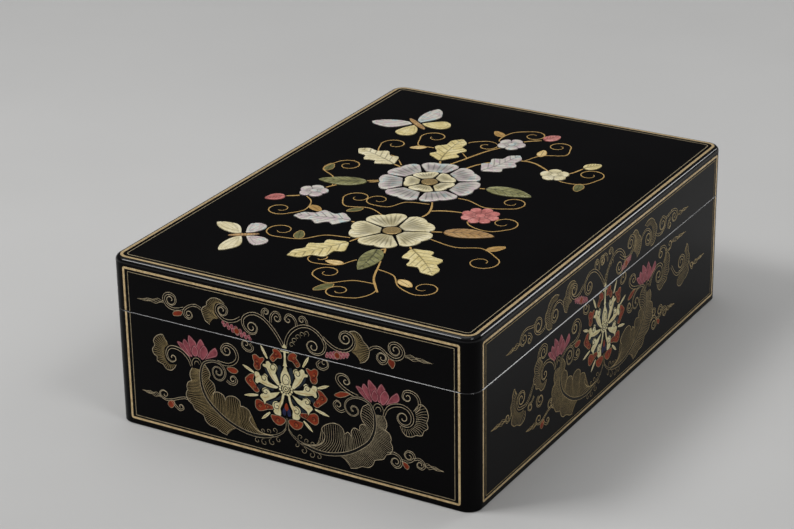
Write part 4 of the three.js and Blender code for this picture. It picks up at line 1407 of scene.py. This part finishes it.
LONG_LID = {
    "stems": (
        [(59.6, 39.4), (63, 42.8), (67, 44.2), (71.8, 42.8), (75.2, 39), (75, 34.6), (71.6, 32.4),
         (67.8, 34), (71, 37, 1.1)],
        [(82, 36.4), (86, 33.6), (92, 33), (97.3, 36.3), (97.9, 41), (94, 43.8), (89.8, 42),
         (93.4, 38.8, 1.1)],
        [(98, 41.0), (103, 41.8), (109, 43), (114.8, 41.4), (117, 37.8), (114.4, 34.4),
         (110.6, 34.8), (112, 37.8, 1.0)],
        [(107, 38.8), (104.2, 37.6), (102.2, 34.8), (103.6, 32.6), (105.2, 34.4, 0.8)],
    ),
    "tail": (117.4, 36.8, 135.4, 36.4),
    "fan": ([(65.4, 48), (70, 50), (75.6, 49.6), (79.6, 47), (80.6, 45)],
            [(80.6, 45), (83.6, 42), (84.4, 38.6), (83, 36)],
            [(83, 36), (82.2, 32.6), (79, 30), (75, 29.8)]),
    "fan_rib": [(69, 46), (73.6, 45.4), (77, 41.6), (77.4, 37), (76, 33.4), (74, 31.4)],
}
LONG_FAR_STEM = [(127.8, -4.8), (130.4, -8), (133.8, -8.6), (135.2, -6), (132.8, -6, 0.8)]
LONG_FAR_TAIL = (135.4, -6.2, 154.4, -5.2)
LONG_SHOOT = [(93.6, 15.4), (97, 13.4), (100.8, 14), (102.2, 16.8), (99.6, 17, 0.8)]
LONG_SHOOT_TAIL = (103, 17.4, 126, 16.4)

# Where the right half's parts stand on a long side, apart from the left one's
LONG_LID_SHIFT = -6.5
LONG_LEAF_RISE = 2.6
LONG_FAR_SHIFT = (4.5, -0.5)
LONG_FAR_DROP = 4
LONG_LOTUS_SHIFT = -2.3

PLUME_FOOT = [(45.2, -42.9), (44.4, -40.4), (42, -38), (38.6, -36.6)]
PLUME_EYE = (65.6, 1.6)
BLOSSOM_MIDDLE = [(-2.0, 0.2), (-0.2, 2.0), (1.9, 0.3), (1, -2.0), (-1.2, -1.9)]
TAIL_WIDTH = 3.4


def tail(painting, x0, y0, x1, y1):
    """A feathered end: waving lines that cross and run together to a point."""
    for row in range(4):
        points = []
        for share in np.arange(13) / 12:
            wide = TAIL_WIDTH * min(1, 0.5 + 2 * share) * (1 - share) ** 0.8
            wave = 0.18 * math.sin(share * 16 + row * 1.57)
            points.append((x0 + (x1 - x0) * share,
                           y0 + (y1 - y0) * share + wide * (row / 3 - 0.5 + wave)))
        painting.line(points, 0.32, "old_gold", 0.8, 0.4)


def fan(painting, rib, parts, count, colour):
    """A leaf: scallops round its edge, and lines to them from its rib."""
    for part in parts:
        painting.scallop(part)
    edge = smooth_curve([p for part in parts for p in part[:-1]] + [parts[-1][-1]])
    rib = smooth_curve(rib)
    if colour == "brass":
        painting.wash(rib, edge)
    for share in (np.arange(count) + 0.5) / count:
        painting.barb(along(rib, share), along(edge, share), 0.08, colour)


def frill(painting, rib, parts, colour, side=()):
    """Lobes of a plume: lines from the rib's stretch between two points out to a scallop."""
    def rib_place(point):
        return arc_share(rib)[np.hypot(*(rib - np.array(point)).T).argmin()]

    if colour == "brass":
        stretch = np.linspace(rib_place(parts[0][1]), rib_place(parts[-1][2]), 24)
        edge = [p for part in parts for p in smooth_curve(part[0])]
        painting.wash(along(rib, stretch), [*side, *edge])
    for points, first, last, count, bow_first, bow_last in parts:
        painting.scallop(points)
        edge = smooth_curve(points)
        a, b = rib_place(first), rib_place(last)
        for t in (np.arange(count) + 0.4) / count:
            bow = bow_first + (bow_last - bow_first) * t
            painting.barb(along(rib, a + (b - a) * t), along(edge, t), bow, colour)


def hatch_colour(painting, half):
    return "brass" if painting.long_side else half["hatch"]


def base_half(painting, half):
    rib, colour = smooth_curve(RIB), hatch_colour(painting, half)
    frill(painting, rib, [(*part, 0.05, 0.05) for part in OUTER_EDGE], colour)
    frill(painting, rib, half["inner"], colour, smooth_curve(half["inner_side"])[1:-1])
    painting.scallop(half["inner_side"])
    painting.line(PLUME_FOOT, 0.4)
    painting.stem([*RIB, *half["crook"]], gap=2.2, tip=0.3, foot=0.3, band=True)
    x, y = PLUME_EYE
    for radius in (3.4, 1.7):
        painting.line([(x + radius * 1.05 * math.cos(angle), y + radius * 1.3 * math.sin(angle))
                       for angle in np.linspace(-0.3, 3.1, 7)], 0.4)
    for points, gap in half["shoots"]:
        painting.stem(points, gap)
    painting.outlined(half["red_leaf"], "red")
    for points in half["tendrils"]:
        painting.stem(points, 1.3)
    painting.outlined(half["drop"], "red", width=0.3)
    for x, y, turn, radius in (*UPPER_CURLS, *UNDER_CURLS):
        painting.hook(x, y, radius, turn, -1)
    tail(painting, *half["tail"])


def leaf_half(painting, half):
    colour = hatch_colour(painting, half)
    fan(painting, half["leaf_rib"], half["leaf"], half["fan_lines"], colour)
    painting.stem(half["leaf_stem"], 2.0, foot=0.6)
    if half is RIGHT or painting.long_side:
        painting.stem(half["upper"], 1.6)


def far_half(painting, drop):
    """The leaf and the tail near a long side's end, whose shoot hangs lower by a drop."""
    fan(painting, LONG_LEAF_RIB, LONG_LEAF, 24, "brass")
    painting.stem(LONG_LEAF_STEM, 1.7)
    near, end = LONG_FAR_STEM[:2], LONG_FAR_STEM[2:]
    painting.stem([*near, *((x, y - drop, *curl) for x, y, *curl in end)], 1.1)
    x0, y0, x1, y1 = LONG_FAR_TAIL
    tail(painting, x0, y0 - drop, x1, y1 - drop)


def lid_half(painting, half):
    painting.stem(half["arch"], 1.8)
    if painting.long_side and half is RIGHT:
        painting.place(LONG_LID_SHIFT)
    fan(painting, half["fan_rib"], half["fan"], 22, "brass")
    painting.stem(half["second"], 1.8)
    for points in half["top_curls"]:
        painting.stem(points, 1.2)
    if half is RIGHT:
        for x, y, turn in ARCH_CURLS:
            painting.hook(x, y, 2.0, turn)
    x, y, reach, slope = half["blossom"]
    if painting.long_side:
        side_blossom(painting, x, y + 0.5, reach * 0.85, slope)
        fan(painting, LONG_LID["fan_rib"], LONG_LID["fan"], 22, "brass")
        for points in LONG_LID["stems"]:
            painting.stem(points, 1.4)
        tail(painting, *LONG_LID["tail"])
    else:
        side_blossom(painting, x, y, reach, slope)
        painting.stem(half["third"], 1.4)
        painting.stem(half["fourth"], 1.6)
        painting.outlined(half["lid_drop"], "red", width=0.3)
        tail(painting, *half["lid_tail"])


def side_blossom(painting, x, y, reach, slope):
    """A small flower seen from its side: two rows of petals and a red middle."""
    for step in range(14):
        across = (step // 2) / 3 - 1
        row = step % 2 * 2 - 1
        size = 1.65 - 0.5 * abs(across)
        petal = shifted(
            ellipse_outline(size * 0.8, size, 7), x + (across + 0.05 * row) * reach,
            y + across * slope + row * (1.35 - 0.6 * abs(across)),
        )
        painting.outlined(petal, "pink", "blush", 0.26, 0.006 + 0.003 * (step % 4))
    painting.outlined(shifted(BLOSSOM_MIDDLE, x, y), "red", width=0.3, height=0.03)


def lotus(painting):
    for place, petal in enumerate(LOTUS):
        height = 0.006 + 0.005 * place
        painting.region(petal, "pink", height)
        for inset, colour in ((0, "wine"), (0.42, "blush")):
            painting.rim(closed_curve(petal), -inset, 0.3, colour, height + 0.004)


def side_drawing(face, half_width, middle):
    painting = Painting(face, (middle, FLOWER_HEIGHT))
    long_side = painting.long_side
    for inset, low, high, *looks in SIDE_LINES:
        frame_line(painting, half_width - inset, low, high, *looks)
    for flip, half in ((1, RIGHT), (-1, LEFT)):
        right = half is RIGHT
        painting.flip = flip
        painting.place()
        base_half(painting, half)
        lid_half(painting, half)
        painting.place(0, LONG_LEAF_RISE if long_side and right else 0)
        leaf_half(painting, half)
        if long_side:
            if right:
                painting.stem(LONG_SHOOT, 1.0)
                tail(painting, *LONG_SHOOT_TAIL)
                painting.place(*LONG_FAR_SHIFT)
            far_half(painting, LONG_FAR_DROP if right else 0)
            painting.place()
            for points in LONG_BASE_STEMS[1:2] if right else LONG_BASE_STEMS:
                painting.stem(points, 1.1)
    painting.flip = 1
    for shift in (LONG_LOTUS_SHIFT if long_side else 0, -LOTUS_STEP):
        painting.place(shift)
        lotus(painting)
    painting.place()
    flower(painting)
    painting.finish()


# Painted stems and tendrils of the top, in its own axes. A last entry of three numbers is a curl.

TOP_STEMS = (
    [(-148, -46), (-132, -34), (-112, -26), (-96, -20), (-78, -12), (-62, -6)],
    [(-40, -10), (-26, -12), (-10, -6), (4, 4), (22, 14)],
    [(-22, -11), (-17, -20), (-14, -34), (-14, -44)],
    [(50, 20), (68, 14), (88, 8), (100, 2), (109, -2), (119, -8), (127, -18)],
    [(50, 6), (66, 0), (80, -12), (86, -28), (80, -42), (72, -54), (80, -62), (92, -66)],
    [(10, 44), (0, 58), (-14, 68), (-28, 74), (-38, 78), (-44, 86)],
    [(52, 22), (56, 25), (62, 28)],
    [(36, 44), (38, 48), (40, 54)],
    [(8, 44), (5, 47), (2, 52)],
    [(-80, 6), (-86, 8), (-93, 10)],
    [(-62, 18), (-61, 22), (-60, 28)],
    [(-52, -28), (-50, -32), (-48, -38)],
    [(-84, -20), (-90, -16), (-95, -13)],
    [(-76, -26), (-80, -30), (-84, -33)],
    [(26, -18), (28, -22), (29, -27)],
)
TENDRILS = (
    [(-132, -34), (-147, -44), (-160, -40), (-165, -28), (-157, -24, 1.2)],
    [(-138, -38), (-140, -24), (-150, -12), (-146, 0), (-137, -4, 1.2)],
    [(-118, -28), (-122, -42), (-134, -52), (-140, -64), (-130, -68, 1.2)],
    [(-104, -22), (-112, -10), (-124, -4), (-128, 8), (-120, 12, 1.1)],
    [(-84, 12), (-88, 28), (-100, 38), (-104, 52), (-94, 57, 1.2)],
    [(-62, -33), (-66, -54), (-60, -70), (-68, -84), (-79, -80, 1.2)],
    [(-44, 10), (-36, 26), (-40, 42), (-30, 50), (-24, 42, 1.1)],
    [(-12, -5), (-16, 10), (-28, 16), (-30, 26), (-21, 28, 1.1)],
    [(-14, 68), (0, 76), (10, 90), (24, 88), (23, 78, 1.2)],
    [(-36, 76), (-44, 66), (-58, 62), (-68, 68), (-64, 77, 1.2)],
    [(-14, -36), (-30, -44), (-34, -60), (-26, -70), (-18, -63, 1.1)],
    [(2, 0), (6, -22), (0, -40), (6, -56), (15, -52, 1.2)],
    [(86, -24), (100, -30), (108, -44), (120, -42), (120, -33, 1.2)],
    [(76, -48), (64, -62), (66, -78), (78, -84), (83, -75, 1.2)],
    [(72, 13), (84, 24), (98, 26), (106, 18), (99, 12, 1.1)],
    [(103, 1), (114, 10), (130, 8), (138, -2), (131, -8, 1.2)],
    [(62, 28), (78, 40), (78, 54), (90, 60), (97, 52, 1.1)],
    [(40, 46), (52, 58), (54, 72), (66, 78), (72, 70, 1.1)],
)
# u, v, turn, length and colour of the painted leaves
SMALL_LEAVES = (
    (-150, -16, 160, 15, "olive"), (-126, -48, 250, 14, "straw"), (-121, -6, 100, 13, "straw"),
    (-101, 40, 30, 14, "olive"), (-62, -74, 330, 14, "ochre"), (-38, 30, 150, 12, "olive"),
    (-18, 12, 30, 12, "straw"), (8, 86, 20, 14, "olive"), (-50, 63, 250, 13, "ochre"),
    (-33, -52, 230, 13, "olive"), (2, -42, 230, 13, "straw"), (98, -30, 20, 13, "straw"),
    (66, -76, 200, 14, "olive"), (86, 25, 60, 12, "olive"), (120, 10, 60, 13, "ochre"),
    (78, 48, 130, 12, "straw"), (54, 66, 120, 12, "olive"),
)


def open_runs(line):
    """The stretches of a line that keep off the inlay."""
    hidden = inside(np.stack([-line[:, 1], line[:, 0]], 1), pockets)
    runs = [[]]
    for point, under in zip(line, hidden):
        if under:
            runs.append([])
        else:
            runs[-1].append(point)
    return [np.array(run) for run in runs if len(run) > 2]


def top_drawing():
    painting = Painting("top")
    for inset, *looks in TOP_LINES:
        frame_line(painting, HALF_LENGTH - inset, inset - HALF_WIDTH, HALF_WIDTH - inset, *looks)
    for lines, width, start, end in ((TOP_STEMS, 1.4, 0.9, 0.7), (TENDRILS, 0.85, 1.1, 0.6)):
        for points in lines:
            for run in open_runs(smooth_curve(wound(points), reach=1.0)):
                painting.stroke(run, width, "amber", start, end)
    for *place, length, colour in SMALL_LEAVES:
        outline = on_top(leaf_outline(length, length * 0.5, length * 0.12), *place)
        if not inside(outline, pockets).any():
            painting.outlined([(y, -x) for x, y in outline[::3]], colour, "amber", 0.4)
            vein = [(0, 0), (length * 0.03, length * 0.5), (length * 0.1, length * 0.9)]
            painting.line([(y, -x) for x, y in on_top(vein, *place)], 0.4, "ink", 0.6, 0.3)
    painting.finish()


# Half the length of each side, and how far its flower stands from its middle
SIDE_DRAWINGS = {
    "front": (HALF_WIDTH, -1.3),
    "back": (HALF_WIDTH, -1.3),
    "right": (HALF_LENGTH, -6),
    "left": (HALF_LENGTH, -6),
}

spray()
base_lacquer()
lid_lacquer()
top_drawing()
for face, layout in SIDE_DRAWINGS.items():
    side_drawing(face, *layout)

for name in ("base_floor", *(f"lip_{side}" for side in SIDES)):
    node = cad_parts[name]
    node.data.materials.clear()
    node.data.materials.append(INNER)
    bevel = node.modifiers.new("eased_edges", "BEVEL")
    bevel.width = 0.25 * MM
    bevel.segments = 2
    bevel.limit_method = "ANGLE"


# Studio, in metres

FLOOR_REACH = 8

# The sky at the horizon and straight up, and its grey at heights between them, from 0 to 1
HORIZON, ZENITH = (0.50, 0.50, 0.50, 1), (0.40, 0.41, 0.42, 1)
SKY = ((0.12, 0.36), (0.25, 0.07), (0.55, 0.08), (0.75, 0.34))

# Each square lamp's place, where it points, its side and its power
LAMPS = {
    "key": ((-1.05, -0.92, 1.80), (0, 0, 0.05), 0.75, 25),
    "overhead": ((-0.4, 0.2, 2.0), (0, 0, 0.05), 1.4, 8),
    "right_top": ((1.15, -0.44, 1.93), (0, 0, 0.1), 0.5, 7),
    "right_back": ((0.92, 1.80, 1.16), (0, 0, 0.08), 0.55, 10),
}

# The camera as fitted to the photograph, with its lens and sensor in mm
CAMERA_PLACE = (0.73915, -1.29887, 0.72411)
CAMERA_LOOK = (-0.46519, 0.78832, -0.40268)
CAMERA_RIGHT = (0.86440, 0.50258, -0.01469)
CAMERA_UP = (-0.19080, 0.35492, 0.91522)
LENS = 111.177
SENSOR = 36


def add_floor():
    r = FLOOR_REACH
    mesh = bpy.data.meshes.new("floor")
    mesh.from_pydata([(-r, -r, 0), (r, -r, 0), (r, r, 0), (-r, r, 0)], [], [(0, 1, 2, 3)])
    made = Finish("floor_paint", Roughness=0.75, Specular_IOR_Level=0.2)
    made.set(Base_Color=made.ramp(
        made.noise(3, 4), (0.3, (0.50, 0.497, 0.49)), (0.7, (0.53, 0.527, 0.52))))
    mesh.materials.append(made.material)
    floor = bpy.data.objects.new("floor", mesh)
    bpy.context.scene.collection.objects.link(floor)


def add_light(name, place, aim, side, power):
    data = bpy.data.lights.new(name, "AREA")
    data.size = side
    data.energy = power
    light = bpy.data.objects.new(name, data)
    light.location = place
    light.rotation_mode = "QUATERNION"
    light.rotation_quaternion = (Vector(aim) - Vector(place)).to_track_quat("-Z", "Y")
    bpy.context.scene.collection.objects.link(light)


def add_world():
    world = bpy.data.worlds.new("studio")
    world.use_nodes = True
    tree = world.node_tree
    place = tree.nodes.new("ShaderNodeTexCoord")
    split = tree.nodes.new("ShaderNodeSeparateXYZ")
    ramp = tree.nodes.new("ShaderNodeValToRGB")
    tree.links.new(place.outputs["Generated"], split.inputs[0])
    tree.links.new(split.outputs["Z"], ramp.inputs["Fac"])
    tree.links.new(ramp.outputs["Color"], tree.nodes["Background"].inputs["Color"])
    elements = ramp.color_ramp.elements
    elements[0].color, elements[1].color = HORIZON, ZENITH
    for height, level in SKY:
        elements.new(height).color = (level, level, level, 1)
    bpy.context.scene.world = world


def add_camera():
    data = bpy.data.cameras.new("camera")
    data.lens = LENS
    data.sensor_width = SENSOR
    data.clip_start, data.clip_end = 0.05, 60
    camera = bpy.data.objects.new("camera", data)
    turn = Matrix((CAMERA_RIGHT, CAMERA_UP, -Vector(CAMERA_LOOK))).transposed().to_4x4()
    camera.matrix_world = Matrix.Translation(CAMERA_PLACE) @ turn
    bpy.context.scene.collection.objects.link(camera)
    bpy.context.scene.camera = camera


add_floor()
add_world()
for name, lamp in LAMPS.items():
    add_light(name, *lamp)
add_camera()
bpy.context.scene.view_settings.view_transform = "Standard"
